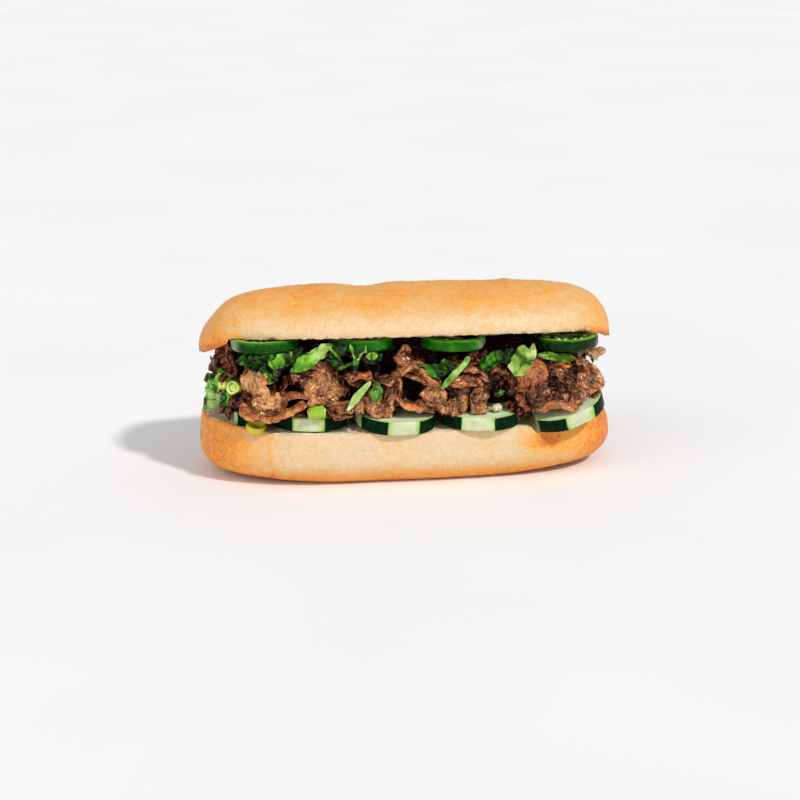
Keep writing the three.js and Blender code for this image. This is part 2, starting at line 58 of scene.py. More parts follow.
def softNoise(points, size, seed):
    # From -1 to 1: the eight corner values of a cell of that size, blended smoothly.
    scaled = points / size
    cell = np.floor(scaled)
    part = scaled - cell
    part = part * part * (3 - 2 * part)
    total = 0
    for corner in np.ndindex(2, 2, 2):
        weight = np.prod(np.where(corner, part, 1 - part), axis=-1)
        total = total + weight * latticeValue(cell + corner, seed)
    return 2 * total - 1


def layeredNoise(points, size, seed, layers=3):
    # Soft noise with finer and weaker layers of it on top, each half the size of the last.
    total = 0
    for layer in range(layers):
        share = 0.5 ** layer
        total = total + share * softNoise(points, size * share, seed + 31 * layer)
    return total / (2 - 0.5 ** (layers - 1))


def cellNoise(points, size, seed):
    # One spot is scattered in each cell: the distance to the nearest, in cells, and its value.
    scaled = points / size
    cell = np.floor(scaled)
    nearest = np.full(points.shape[:-1], np.inf)
    value = np.zeros(points.shape[:-1])
    for corner in np.ndindex(3, 3, 3):
        near = cell + corner - 1
        spot = near + np.stack([latticeValue(near, seed + k) for k in (1, 2, 3)], axis=-1)
        away = np.linalg.norm(spot - scaled, axis=-1)
        value = np.where(away < nearest, latticeValue(near, seed), value)
        nearest = np.minimum(nearest, away)
    return nearest, value


def stacked(*parts):
    # The parts, widened to one shape, as the last axis of one array.
    return np.stack(np.broadcast_arrays(*parts), axis=-1)


def rises(value, start, end):
    # 0 up to the start and 1 from the end on, with a smooth rise between them.
    part = np.clip((value - start) / (end - start), 0, 1)
    return part * part * (3 - 2 * part)


def hump(value, middle, reach):
    # 1 at the middle, falling off like a bell on both sides.
    return np.exp(-((value - middle) / reach) ** 2)


def signedPower(value, power):
    # The power of the value's size, with the value's sign.
    return np.sign(value) * np.abs(value) ** power


# Grids and meshes. A grid has rows from one pole to the other and columns once round.

def turned(angles):
    # The rotation matrix for turns about X, then the turned Y, then the turned Z, in degrees.
    (sinX, sinY, sinZ), (cosX, cosY, cosZ) = np.sin(np.radians(angles)), np.cos(np.radians(angles))
    aboutX = np.array([[1, 0, 0], [0, cosX, -sinX], [0, sinX, cosX]])
    aboutY = np.array([[cosY, 0, sinY], [0, 1, 0], [-sinY, 0, cosY]])
    aboutZ = np.array([[cosZ, -sinZ, 0], [sinZ, cosZ, 0], [0, 0, 1]])
    return aboutX @ aboutY @ aboutZ


def outward(grid):
    # The unit normal: the step round the columns crossed with the step along the rows. At a
    # pole or ridge it is the mean of the row beside it, so that points that meet stay together.
    around = np.roll(grid, -1, axis=1) - np.roll(grid, 1, axis=1)
    onward = np.gradient(grid, axis=0)
    normal = np.cross(around, onward)
    normal[0], normal[-1] = normal[1].mean(axis=0), normal[-2].mean(axis=0)
    return normal / np.maximum(np.linalg.norm(normal, axis=-1, keepdims=True), 1e-9)


def pushed(grid, height):
    # Every point moves along its normal by its height.
    return grid + outward(grid) * height[..., None]


def alongPath(stops, count, rounds=4):
    # Even steps along a path through the stops. The last value of a stop is how finely the
    # stretch that ends there is divided. Each step is then averaged with its neighbours, in
    # several rounds.
    stops = np.array(stops, float)
    steps = np.hypot(*np.diff(stops[:, :2], axis=0).T) * stops[1:, -1]
    reach = np.concatenate([[0], np.cumsum(steps)])
    even = np.linspace(0, reach[-1], count)
    path = np.stack([np.interp(even, reach, column) for column in stops.T])
    for _ in range(rounds):
        path[:, 1:-1] = (path[:, :-2] + 2 * path[:, 1:-1] + path[:, 2:]) / 4
    return path


def planOutline(count, exponent, halfLength, halfWidth, fineSteps=40000):
    # A squared-off ellipse: its cosine and sine to the power 2 / exponent, in even steps of
    # length that are found on a much finer outline.
    angle = np.linspace(0, 2 * np.pi, fineSteps + 1)
    along = signedPower(np.cos(angle), 2 / exponent)
    across = signedPower(np.sin(angle), 2 / exponent)
    steps = np.hypot(np.diff(along) * halfLength, np.diff(across) * halfWidth)
    reach = np.concatenate([[0], np.cumsum(steps)])
    even = np.interp(np.arange(count) / count * reach[-1], reach, angle)
    return signedPower(np.cos(even), 2 / exponent), signedPower(np.sin(even), 2 / exponent)


def makePiece(name, grids, material, nodes=(), weld=0.002):
    # Joins grids into one mesh of quads and merges points closer than the weld, which meet at
    # poles and seams. Each grid is a dictionary: its points in millimetres, and a value or a
    # vector at each point. The piece stands for the nodes, if any.
    places, faces, start = [], [], 0
    for grid in grids:
        rows, columns = grid["points"].shape[:2]
        index = start + np.arange(rows * columns).reshape(rows, columns)
        beside = np.roll(index, -1, axis=1)
        quads = np.stack([index[:-1], beside[:-1], beside[1:], index[1:]], axis=-1)
        faces.append(quads.reshape(-1, 4))
        places.append(grid["points"].reshape(-1, 3) * mm)
        start += rows * columns
    places, faces = np.concatenate(places), np.concatenate(faces)
    mesh = bpy.data.meshes.new(name)
    mesh.vertices.add(len(places))
    mesh.vertices.foreach_set("co", places.ravel())
    mesh.loops.add(faces.size)
    mesh.loops.foreach_set("vertex_index", faces.ravel().astype(np.int32))
    mesh.polygons.add(len(faces))
    mesh.polygons.foreach_set("loop_start", np.arange(0, faces.size, 4, dtype=np.int32))
    mesh.update(calc_edges=True)
    for field in sorted(set(grids[0]) - {"points"}):
        values = [grid[field].reshape(grid["points"][..., 0].size, -1) for grid in grids]
        values = np.concatenate(values).astype(np.float32)
        kind = "FLOAT_VECTOR" if values.shape[1] == 3 else "FLOAT"
        attribute = mesh.attributes.new(field, kind, "POINT")
        attribute.data.foreach_set("vector" if kind == "FLOAT_VECTOR" else "value", values.ravel())
    work = bmesh.new()
    work.from_mesh(mesh)
    bmesh.ops.remove_doubles(work, verts=work.verts, dist=weld * mm)
    work.to_mesh(mesh)
    work.free()
    mesh.polygons.foreach_set("use_smooth", np.ones(len(mesh.polygons), dtype=bool))
    mesh.materials.append(material)
    piece = bpy.data.objects.new(name, mesh)
    bpy.context.scene.collection.objects.link(piece)
    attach(piece, "root")
    if nodes:
        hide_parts(*nodes)
    triangles = sum(len(polygon.vertices) - 2 for polygon in mesh.polygons)
    print(f"{name}: {triangles} triangles")


def makeEach(name, specs, surface, material, node):
    # A numbered piece for each row of a table, which stands for the node of that number.
    for i, spec in enumerate(specs):
        makePiece(f"{name}_{i + 1}", [surface(spec, i)], material, [f"{node}_{i + 1}"])


# Material nodes.

def linear(red, green, blue):
    # A screen colour from 0 to 255 as the light that it stands for.
    screen = np.array([red, green, blue]) / 255
    light = np.where(screen <= 0.04045, screen / 12.92, ((screen + 0.055) / 1.055) ** 2.4)
    return (*light.tolist(), 1)


def connect(tree, socket, value):
    # Links the value if it is another node's output, and sets it on the socket otherwise.
    if isinstance(value, bpy.types.NodeSocket):
        tree.links.new(value, socket)
    else:
        socket.default_value = value


def addNode(tree, kind, inputs, **settings):
    # A node of the kind, with its settings, its inputs linked or set.
    made = tree.nodes.new("ShaderNode" + kind)
    for key, value in settings.items():
        setattr(made, key, value)
    for key, value in inputs.items():
        connect(tree, made.inputs[key], value)
    return made


def newMaterial(name, **sockets):
    # A plain finish with the given sockets, its node tree and its Object coordinates.
    material = bpy.data.materials.new(name)
    material.use_nodes = True
    tree = material.node_tree
    shader = tree.nodes["Principled BSDF"]
    for key, value in sockets.items():
        shader.inputs[key.replace("_", " ")].default_value = value
    return material, tree, tree.nodes.new("ShaderNodeTexCoord").outputs["Object"]


def finished(material, sockets):
    # The finish, with the values linked to its shader's sockets.
    tree = material.node_tree
    for name, value in sockets.items():
        connect(tree, tree.nodes["Principled BSDF"].inputs[name], value)
    return material


def noiseOf(tree, where, scale, detail=3, roughness=0.55):
    # Cloudy noise, most of it from 0.3 to 0.7. The scale is in clouds to a metre.
    inputs = {"Vector": where, "Scale": scale, "Detail": detail, "Roughness": roughness}
    return addNode(tree, "TexNoise", inputs).outputs["Fac"]


def fieldOf(tree, name, output="Fac"):
    # What the surface function stored at each point under that name.
    return addNode(tree, "Attribute", {}, attribute_name=name).outputs[output]


def mathOf(tree, operation, first, second=0.0):
    # One sum of one or two values, each a number or another node's output.
    return addNode(tree, "Math", {0: first, 1: second}, operation=operation).outputs[0]


def plus(tree, first, second):
    return mathOf(tree, "ADD", first, second)


def times(tree, first, second):
    return mathOf(tree, "MULTIPLY", first, second)


def spanOf(tree, value, low, high, start=0.0, end=1.0):
    # The value's place between low and high, smoothed, as a value between start and end.
    inputs = {"Value": value, "From Min": low, "From Max": high, "To Min": start, "To Max": end}
    return addNode(tree, "MapRange", inputs, interpolation_type="SMOOTHSTEP").outputs["Result"]


def swayOf(tree, noise, amount):
    # A noise as a value that sways from minus to plus the amount.
    return spanOf(tree, noise, 0.3, 0.7, -amount, amount)


def rampOf(tree, factor, stops):
    # Colours blended along a ramp. A stop is its place from 0 to 1, then its red, green and blue.
    ramp = addNode(tree, "ValToRGB", {"Fac": factor})
    elements = ramp.color_ramp.elements
    while len(elements) < len(stops):
        elements.new(0.5)
    for element, (place, *screen) in zip(elements, stops):
        element.position = place
        element.color = linear(*screen)
    return ramp.outputs["Color"]


def mixOf(tree, factor, first, second):
    # From the first colour at 0 to the second at 1. A Mix node's colours are inputs 6 and 7.
    made = addNode(tree, "Mix", {0: factor}, data_type="RGBA")
    connect(tree, made.inputs[6], first)
    connect(tree, made.inputs[7], second)
    return made.outputs[2]


def stretched(tree, where, scale):
    # The coordinates multiplied axis by axis, so that a pattern on them runs in streaks.
    return addNode(tree, "VectorMath", {0: where, 1: scale}, operation="MULTIPLY").outputs[0]


def bumpOf(tree, height, distance, strength, below=None):
    # A normal for fine relief of that height in millimetres, on top of the relief below it.
    inputs = {"Height": height, "Distance": distance * mm, "Strength": strength}
    if below:
        inputs["Normal"] = below
    return addNode(tree, "Bump", inputs).outputs["Normal"]


# The two halves of the roll.

roll = {
    "exponent": 2.7, # above 2 the plan outline is squarer than an ellipse
    "columns": 620,
    "swell": 0.6, # how far the lower half's crust is uneven
    "lidSwell": 0.8,
    "crumbDepth": 0.6, # how deep the torn crumb of the cut faces is
    "crumbFineness": 4, # the crumb's waves against the crust's
    "sunk": 0.16, # how far the crust is let in, so that its relief stays inside the solids
    # Height and size of the crust's dents and wrinkles and of the crumb's lumps.
    "dents": (0.34, 13),
    "wrinkles": (0.1, 3.4),
    "lumps": (0.4, 2.6),
    # Height or depth, spacing, reach, and the share of the spots that stay smooth.
    "blisters": (0.2, 2.1, 0.45, 0.6),
    "pores": [(0.5, 1.6, 0.5, 0.55), (0.9, 3.9, 0.42, 0.7)],
}
bottomRoll = {
    "length": 166, "width": 69, "bulge": 12, "rim": 22, "rimInset": 1.5, "foot": 11,
    "leftRise": 3.2, "rightRise": -1, "riseFrom": 50, "heelRise": 2.2, "heelFrom": 28, "rows": 132,
    # How dark it is baked: everywhere, at each end and underneath, in streaks, and along a pleat
    # down the left; the patch low on the right of the front is a painted shadow, warm orange,
    # under the rightmost cucumber round.
    "bake": 0.1, "leftBake": 0.7, "rightBake": 0.8, "underBake": 0.68, "streaks": 0.14,
    "patch": 0.85, "shadowAt": (52, 16), "shadowSize": (9, 5), "pleat": 0.22, "pleatAt": -55.4,
    "rind": 0.12,
}
lidRoll = {
    "length": 164.6, "width": 67, "dome": 20.8, "height": 53.3, "turn": [-11, 0.5, 0], "rows": 140,
    "droopLeft": 5.5, "droopRight": 3, "droopFrom": 66, # the two ends hang down
    # How far each end of the dome runs in, in half widths, and the power: above 1 it is rounder.
    "leftRun": 1.5, "leftRound": 1.25, "rightRun": 1.2, "rightRound": 1.8,
    "covers": (66, 31), # within this half length and half width nothing reaches up into the lid
    # Swells and dips across the crown: place along the roll, half width and height.
    "bumps": [(-30, 7, 0.55), (-17, 6, -0.6), (-4, 5, 0.35), (40, 3, 0.6), (62, 6, -0.3)],
    "bake": 0.14, "endBake": 0.5, "upperBake": 0.42, "crownBake": 0.08, "chinBake": 0.5,
    # The lid's strong rind is also painted shade under its lip.
    "mottle": 0.16, "rind": 0.85,
}
lidTurn = turned(lidRoll["turn"])
lidPlace = np.array([0, 0, lidRoll["height"]])


def swell(x, y, phase):
    # Soft uneven swells of a hand-shaped loaf, from -1 to 1: long waves with short ones on them.
    long = np.sin(x * 0.055 + phase) * np.cos(y * 0.07 - phase)
    short = np.sin(x * 0.13 - 2 * phase) * np.sin(y * 0.11 + phase)
    return 0.65 * long + 0.35 * short


def tornCrumb(x, y, phase):
    # The same swell at the crumb's finer scale, always downwards.
    fineness = roll["crumbFineness"]
    return roll["crumbDepth"] * (swell(x * fineness, y * fineness, phase) - 1)


def bowls(points, spacing, reach, smooth, seed):
    # Round bowls of depth 1 on scattered spots, but for the share that stays smooth.
    away, value = cellNoise(points, spacing, seed)
    return (value > smooth) * np.clip(1 - (away / reach) ** 2, 0, 1)


def crustRelief(points, seed):
    # Dents of a soft crust, finer wrinkles on them, and small round blisters here and there.
    (dent, dentSize), (wrinkle, wrinkleSize) = roll["dents"], roll["wrinkles"]
    blister, *spots = roll["blisters"]
    relief = dent * layeredNoise(points, dentSize, seed, 2)
    relief = relief + wrinkle * layeredNoise(points, wrinkleSize, seed + 5, 2)
    return relief + blister * bowls(points, *spots, seed + 9) - roll["sunk"]


def crumbRelief(points, seed):
    # Torn bread: rough lumps, with round pores of two sizes let into them.
    lump, lumpSize = roll["lumps"]
    relief = lump * layeredNoise(points, lumpSize, seed, 3)
    for i, (depth, *spots) in enumerate(roll["pores"]):
        relief = relief - depth * bowls(points, *spots, seed + 3 + 4 * i)
    return relief


def bottomSurface():
    # A path from under the roll, round its foot and up to the rim, then in across the cut face,
    # carried round the plan outline. The two ends lift, and the rim and the cut face are torn.
    b = bottomRoll
    halfLength, halfWidth = b["length"] / 2, b["width"] / 2
    # Stops: inset, height, how much the crust swells, how much the end rises, how torn the
    # crumb is, how much of it is skin, and fineness.
    stops = [(halfWidth, 0, 0, 0, 0, 1, 0.3), (b["foot"], 0, 0, 0, 0, 1, 0.3)]
    for turn in np.radians(np.arange(6, 91, 6)):
        stops.append((b["foot"] * (1 - np.sin(turn)), b["bulge"] * (1 - np.cos(turn)),
                      min(1, turn / math.radians(25)), 0, 0, 1, 1))
    stops += [
        (b["rimInset"] * 0.35, b["bulge"] + 5.5, 0.6, 0, 0, 1, 1),
        (b["rimInset"], b["rim"] - 0.8, 0, 1, 0, 1, 1.1),
        (b["rimInset"] + 1, b["rim"], 0, 1, 0, 0.35, 1.4),
        (8, b["rim"] - 0.5, 0, 1, 1, 0, 1),
        (20, b["rim"] - 0.7, 0, 1, 1, 0, 0.5),
        (halfWidth, b["rim"] - 0.7, 0, 1, 0.6, 0, 0.2),
    ]
    inset, z, crust, end, crumb, skin, _ = alongPath(stops, b["rows"])[:, :, None]
    along, across = planOutline(roll["columns"], roll["exponent"], halfLength, halfWidth)
    x, y = (halfLength - inset) * along, (halfWidth - inset) * across
    bulge = roll["swell"] * crust * (swell(x, y, 1.3) - 0.4)
    curl = np.maximum(0, 1 - z / b["bulge"]) * rises(np.abs(x), b["heelFrom"], halfLength - 3)
    rimRise = np.where(along < 0, b["leftRise"], b["rightRise"])
    endRise = end * rimRise * rises(np.abs(x), b["riseFrom"], halfLength - 3)
    height = z + b["heelRise"] * curl + endRise + crumb * tornCrumb(x, y, 0.4)
    points = stacked(x + bulge * along, y + bulge * across, height)
    skin = np.broadcast_to(skin, height.shape)
    relief = skin * rises(height, 0.2, 3) * crustRelief(points, 11)
    relief = relief + (1 - skin) * crumbRelief(points, 23)
    rim = hump(inset, b["rimInset"] + 0.6, 1.3) * (z > b["bulge"])
    points = pushed(points, relief + rim * (0.34 * layeredNoise(points, 1.7, 41, 2) - 0.15))
    points[..., 2] = np.maximum(points[..., 2], 0)
    streaks = layeredNoise(points * [1, 1, 0.25], 7, 51, 3)
    x, y, z = np.moveaxis(points, -1, 0)
    ends = rises(np.abs(x), 44, 80) * np.where(x < 0, b["leftBake"], b["rightBake"])
    under = rises(-z, -11, -1) * (b["underBake"] + 0.15 * rises(np.abs(x), 10, 70))
    # A painted shadow, warm orange, of the rightmost front cucumber round, low on the front.
    (shadowX, shadowZ), (shadowLength, shadowHeight) = b["shadowAt"], b["shadowSize"]
    patch = hump(x, shadowX, shadowLength) * hump(z, shadowZ, shadowHeight) * (y < 0)
    pleat = hump(x + 0.1 * z, b["pleatAt"], 1.3) * skin
    bake = b["bake"] + np.maximum(ends, under) + 0.15 * ends * under + b["streaks"] * streaks
    bake = bake + b["pleat"] * pleat + b["patch"] * patch
    return {"points": points, "bake": bake, "skin": skin + 0.25 * streaks * (skin < 1),
            "rind": np.full(bake.shape, b["rind"])}


def lidSurface():
    # In the lid's own frame: a path from the middle of its cut face out to the lip, then up a
    # quarter ellipse to the crown, carried round the plan outline. The two ends hang down, and
    # along the roll the dome falls off with a power of the inset.
    b = lidRoll
    halfLength, halfWidth = b["length"] / 2, b["width"] / 2
    # Stops: inset, height, how much the crust swells, how far the end hangs, how torn the crumb
    # is, how much of it is skin, and fineness.
    stops = [
        (halfWidth, 1.5, 0, 0, 0, 0, 0.2), (20, 2.1, 0, 0, 1, 0, 0.2), (8, 1.7, 0, 0, 1, 0, 0.6),
        (2.6, 0.2, 0, 0.6, 0.3, 0.25, 1.2), (0.6, 0, 0, 1, 0, 0.75, 1.4),
    ]
    for turn in np.radians(np.arange(6, 91, 4)):
        stops.append((halfWidth * (1 - np.cos(turn)), b["dome"] * np.sin(turn),
                      1, np.cos(turn) ** 2, 0, 1, 1 - 0.45 * np.sin(turn)))
    inset, z, crust, droop, crumb, skin, _ = alongPath(stops, b["rows"])[:, :, None]
    along, across = planOutline(roll["columns"], roll["exponent"], halfLength, halfWidth)
    leftFall = b["leftRun"] * (inset / halfWidth) ** b["leftRound"]
    rightFall = b["rightRun"] * (inset / halfWidth) ** b["rightRound"]
    x = (halfLength - halfWidth * np.where(along > 0, rightFall, leftFall)) * along
    y = (halfWidth - inset) * across
    lift = roll["lidSwell"] * crust * swell(x, y, 2.6) * rises(z, 0, 8)
    drop = np.where(along < 0, b["droopLeft"], b["droopRight"])
    chin = droop * drop * rises(np.abs(x), b["droopFrom"], halfLength)
    points = stacked(x, y, z + lift - chin + crumb * tornCrumb(x, y, 1.9))
    skin = np.broadcast_to(skin, points.shape[:-1])
    bumps = 0.3 * softNoise(points, 21, 61) + 0.25 * softNoise(points, 8, 62) - 0.5
    for place, reach, amount in b["bumps"]:
        bumps = bumps + amount * hump(points[..., 0], place, reach)
    relief = skin * (crustRelief(points, 13) + bumps * rises(z, 4, 15))
    relief = relief + (1 - skin) * crumbRelief(points, 29)
    lip = hump(z, 0.1, 0.9) * (inset < 6)
    points = pushed(points, relief + lip * (0.4 * layeredNoise(points, 1.6, 43, 2) - 0.1))
    mottle = layeredNoise(points * [1, 1, 0.6], 9, 53, 3)
    x, height = points[..., 0], points[..., 2] + chin
    ends = b["endBake"] * rises(np.abs(x), 56, 82)
    upper = b["upperBake"] * rises(height, 4, 13) + b["crownBake"] * rises(height, 12, 20)
    upper = upper * (1 - 0.3 * rises(x, 30, 60))
    chinTone = b["chinBake"] * rises(np.abs(x), 62, 78) * rises(-height, -5, -0.5)
    bake = b["bake"] + np.maximum(upper, ends) + 0.2 * ends * upper + b["mottle"] * mottle + chinTone
    return {"points": points, "bake": bake, "skin": skin + 0.25 * mottle * (skin < 1),
            "rind": np.full(bake.shape, b["rind"])}


def onLid(points):
    # From the lid's own frame to the sandwich's.
    return points @ lidTurn.T + lidPlace


def crustFinish():
    # Cream to brown by how far it is baked, mottled and speckled, with small pale dots; on the lower
    # half the bake also holds a painted shadow. Where there is no skin it is crumb, and a thin brown
    # rind runs between the two, strong on the lid, where it is also painted shade under the lip.
    material, tree, where = newMaterial("bakedCrust", Roughness=0.5, Coat_Weight=0.06,
                                        Coat_Roughness=0.35, Subsurface_Weight=0.1,
                                        Subsurface_Scale=0.003)
    mottle = noiseOf(tree, where, 300, 5, 0.65)
    speckle = noiseOf(tree, where, 1300, 2, 0.6)
    bake = plus(tree, fieldOf(tree, "bake"), swayOf(tree, mottle, 0.13))
    bake = plus(tree, bake, spanOf(tree, speckle, 0.35, 0.65, -0.12, 0.12))
    crust = rampOf(tree, bake, [
        (0.0, 226, 200, 162), (0.25, 226, 188, 138), (0.5, 232, 172, 92), (0.75, 240, 154, 44),
        (1.0, 214, 112, 26),
    ])
    dots = addNode(tree, "TexVoronoi", {"Vector": where, "Scale": 620}).outputs["Distance"]
    dots = times(tree, spanOf(tree, dots, 0.1, 0.32, 1, 0), spanOf(tree, mottle, 0.5, 0.6))
    crust = mixOf(tree, times(tree, dots, 0.4), crust, linear(252, 214, 160))
    crumb = rampOf(tree, noiseOf(tree, where, 600, 4, 0.6), [
        (0.3, 242, 214, 168), (0.55, 253, 238, 206), (0.8, 255, 248, 228),
    ])
    jag = plus(tree, fieldOf(tree, "skin"), swayOf(tree, mottle, 0.2))
    edge = rampOf(tree, jag, [(0.0, 0, 0, 0), (0.4, 0, 0, 0), (0.55, 255, 255, 255), (0.8, 0, 0, 0)])
    colour = mixOf(tree, spanOf(tree, jag, 0.35, 0.6), crumb, crust)
    # The rind line: the crust's own rind, and on the lid also painted shade under the lip.
    colour = mixOf(tree, times(tree, edge, fieldOf(tree, "rind")), colour, linear(104, 54, 26))
    fine = bumpOf(tree, speckle, 0.3, 0.8)
    return finished(material, {
        "Base Color": colour,
        "Roughness": spanOf(tree, mottle, 0.3, 0.7, 0.42, 0.6),
        "Normal": bumpOf(tree, mottle, 0.7, 0.7, fine),
    })


# Cucumber rounds.

cucumber = {
    "thick": 5.5,
    "rows": 74,
    "strip": 12, # columns to each strip
    "ridge": 0.011, # how far the peel stands out, as a part of the radius
    # Each has its strips of peel, from an angle on, and one is cut off straight.
    "front": [
        {"at": [-63.9, -12.8, 0.4], "turn": [0, 2, 0], "radius": 7.8, "stripes": 2, "from": -128},
        {"at": [-39.5, -13.5, 0.1], "turn": [1, 1, 0], "radius": 16.2, "stripes": 4, "from": -166},
        {"at": [-6.9, -20.8, 0], "turn": [3.5, 2.5, 0], "radius": 16.2, "stripes": 4, "from": -152},
        {"at": [26.8, -20.2, 0.1], "turn": [2.5, 0.5, 0], "radius": 16.8, "stripes": 4, "from": -169},
        {"at": [60.4, -21, 1.4], "turn": [9, -16, 0], "radius": 16.2, "stripes": 4, "from": -141,
         "cut": -12.5},
    ],
    "back": [
        {"at": [-63, 14, 0.6], "turn": [-1, 3, 0], "radius": 13.5, "stripes": 3, "from": 20},
        {"at": [-33, 19.5, 0.4], "turn": [-1.5, 0, 0], "radius": 16, "stripes": 4, "from": 47},
        {"at": [0, 20.8, 0.5], "turn": [-2.5, 0, 0], "radius": 16.2, "stripes": 4, "from": 12},
        {"at": [33, 20.5, 0.5], "turn": [-2, -1, 0], "radius": 16, "stripes": 4, "from": 70},
        {"at": [63.5, 15, 1], "turn": [-1, -4, 0], "radius": 14, "stripes": 3, "from": 35},
    ],
}


def settle(rounds, height):
    # The place and the turning matrix of each round whose middle lies at the height. In a whole
    # round the straight cut lies outside of it.
    for spec in rounds["front"] + rounds["back"]:
        spec["place"] = np.array(spec["at"]) + [0, 0, height]
        spec["matrix"] = turned(spec["turn"])
        spec.setdefault("cut", -2 * spec["radius"])


settle(cucumber, bottomRoll["rim"] + gap + cucumber["thick"] / 2)


def cucumberSurface(spec, seed):
    # A round coin: the radius is the full one under a strip of peel, and dips by half a sine
    # where the peel was pared away. The faces and sides waver a little, as cut by hand.
    columns = 2 * spec["stripes"] * cucumber["strip"]
    radius, half, cut = spec["radius"], cucumber["thick"] / 2, spec["cut"]
    # Stops: part of the radius, height and fineness, from one face round the edge to the other.
    stops = [(0, -half, 0.5), (0.4, -half, 0.5), (0.962, -half, 1), (0.988, -half + 0.12, 3),
             (1, -half + 0.4, 3), (1, half - 0.4, 0.7), (0.988, half - 0.12, 3), (0.962, half, 3),
             (0.4, half, 1), (0, half, 0.5)]
    stops = [(part * radius, z, part, fine) for part, z, fine in stops]
    reach, z, part, _ = alongPath(stops, cucumber["rows"])[:, :, None]
    reach[-1] = reach[0] = 0
    strip = np.arange(columns) / cucumber["strip"]
    dip = 0.5 * (1 - np.cos(np.pi / (2 * spec["stripes"])))
    pared = np.where(strip % 2 >= 1, np.sin(np.pi * (strip % 1)) * dip, 0)
    step = cucumber["ridge"] * rises(-np.sin(np.pi * strip), 0.02, 0.2)
    angle = np.radians(spec["from"]) + 2 * np.pi * np.arange(columns) / columns
    reach = reach * (1 - pared - step)
    points = stacked(np.maximum(reach * np.cos(angle), cut), reach * np.sin(angle), z)
    face = points / [radius, radius, half]
    shifted = points + [0, 0, 40 * seed]
    relief = 0.12 * layeredNoise(shifted, 4, 71, 2) + 0.05 * softNoise(shifted * [1, 1, 0.2], 0.9, 72)
    points = pushed(points, relief * rises(reach, 0.5, 3))
    return {"points": points @ spec["matrix"].T + spec["place"], "face": face,
            "strip": np.broadcast_to(np.sin(np.pi * strip), reach.shape),
            "rimPart": np.broadcast_to(part, reach.shape),
            "sliced": rises(-points[..., 0], -cut - 0.6, -cut - 0.2)}


def cucumberFinish():
    # At the rim dark peel and pared flats by turns, the flats greener beside the peel. On the
    # faces rings of paler and greener flesh, with petals of seeds where a sine of the angle is
    # high. A cut side has no peel.
    material, tree, where = newMaterial("cucumberFlesh", Subsurface_Scale=0.003)
    strip, part = fieldOf(tree, "strip"), fieldOf(tree, "rimPart")
    streak = noiseOf(tree, stretched(tree, where, (1, 1, 0.25)), 900, 3, 0.6)
    cloud = noiseOf(tree, where, 220)
    onPeel = spanOf(tree, plus(tree, strip, swayOf(tree, streak, 0.035)), -0.02, 0.06)
    atRim = times(tree, onPeel, spanOf(tree, part, 0.972, 0.982))
    atRim = times(tree, atRim, mathOf(tree, "SUBTRACT", 1.0, fieldOf(tree, "sliced")))
    flat = rampOf(tree, times(tree, strip, -1.0), [
        (0.0, 104, 160, 40), (0.16, 164, 198, 92), (0.4, 188, 202, 144), (1.0, 197, 205, 165),
    ])
    spread = addNode(tree, "SeparateXYZ", {"Vector": fieldOf(tree, "face", "Vector")})
    across, up = spread.outputs["X"], spread.outputs["Y"]
    angle = mathOf(tree, "ARCTAN2", up, across)
    away = plus(tree, times(tree, across, across), times(tree, up, up))
    away = mathOf(tree, "POWER", away, 0.5)
    inside = rampOf(tree, away, [
        (0.0, 226, 238, 190), (0.2, 214, 230, 168), (0.5, 205, 226, 155), (0.62, 228, 240, 200),
        (0.86, 218, 236, 178), (0.97, 160, 200, 84),
    ])
    petals = spanOf(tree, mathOf(tree, "SINE", times(tree, angle, 14.0)), 0.1, 0.8)
    inSeeds = times(tree, spanOf(tree, away, 0.22, 0.3), spanOf(tree, away, 0.6, 0.5))
    inside = mixOf(tree, times(tree, inSeeds, petals), inside, linear(236, 240, 205))
    colour = mixOf(tree, spanOf(tree, part, 0.975, 0.985), inside, flat)
    colour = mixOf(tree, spanOf(tree, cloud, 0.35, 0.7, 0, 0.35), colour, linear(240, 246, 218))
    peel = rampOf(tree, streak, [(0.3, 1, 20, 8), (0.6, 3, 38, 16), (0.85, 16, 64, 28)])
    return finished(material, {
        "Base Color": mixOf(tree, atRim, colour, peel),
        "Subsurface Weight": spanOf(tree, atRim, 0, 1, 0.25, 0),
        "Specular IOR Level": spanOf(tree, atRim, 0, 1, 0.25, 0.04),
        "Roughness": spanOf(tree, cloud, 0.3, 0.7, 0.2, 0.42),
        "Normal": bumpOf(tree, streak, 0.08, 0.5),
    })


# Chilli rounds, in the lid's frame.

chilli = {
    "thick": 4.4,
    "rows": 78,
    "columns": 120,
    "seedSize": 3.1,
    # How far the lobed edge is turned, how much brighter the skin is, and at what angle a painted
    # reflection lies on it.
    "front": [
        {"at": [-57.5, -18.2, 1.4], "turn": [8, 0, 0], "radius": 13.6, "lobe": 0.4,
         "worn": -165},
        {"at": [-20, -18.4, 0.9], "turn": [7, 0, 0], "radius": 13, "lobe": 2.1,
         "bright": 0.06},
        {"at": [16.6, -18.6, 0.1], "turn": [8, -1, 0], "radius": 12.6, "lobe": 3.7,
         "bright": 0.18, "worn": -28},
        {"at": [61, -17.8, -0.7], "turn": [9, 0, 0], "radius": 13.2, "lobe": 5.2,
         "bright": -0.18},
    ],
    "back": [
        {"at": [-52, 17.5, -0.1], "turn": [0, 0, 0], "radius": 13, "lobe": 1.2},
        {"at": [-12, 18.5, -0.2], "turn": [1, 0, 0], "radius": 13.4, "lobe": 4.4},
        {"at": [26, 17.8, -0.1], "turn": [0, 0, 0], "radius": 12.6, "lobe": 0.8},
        {"at": [58, 16.5, -0.3], "turn": [1, 0, 0], "radius": 12.8, "lobe": 2.9},
    ],
}
settle(chilli, -(gap + chilli["thick"] / 2))


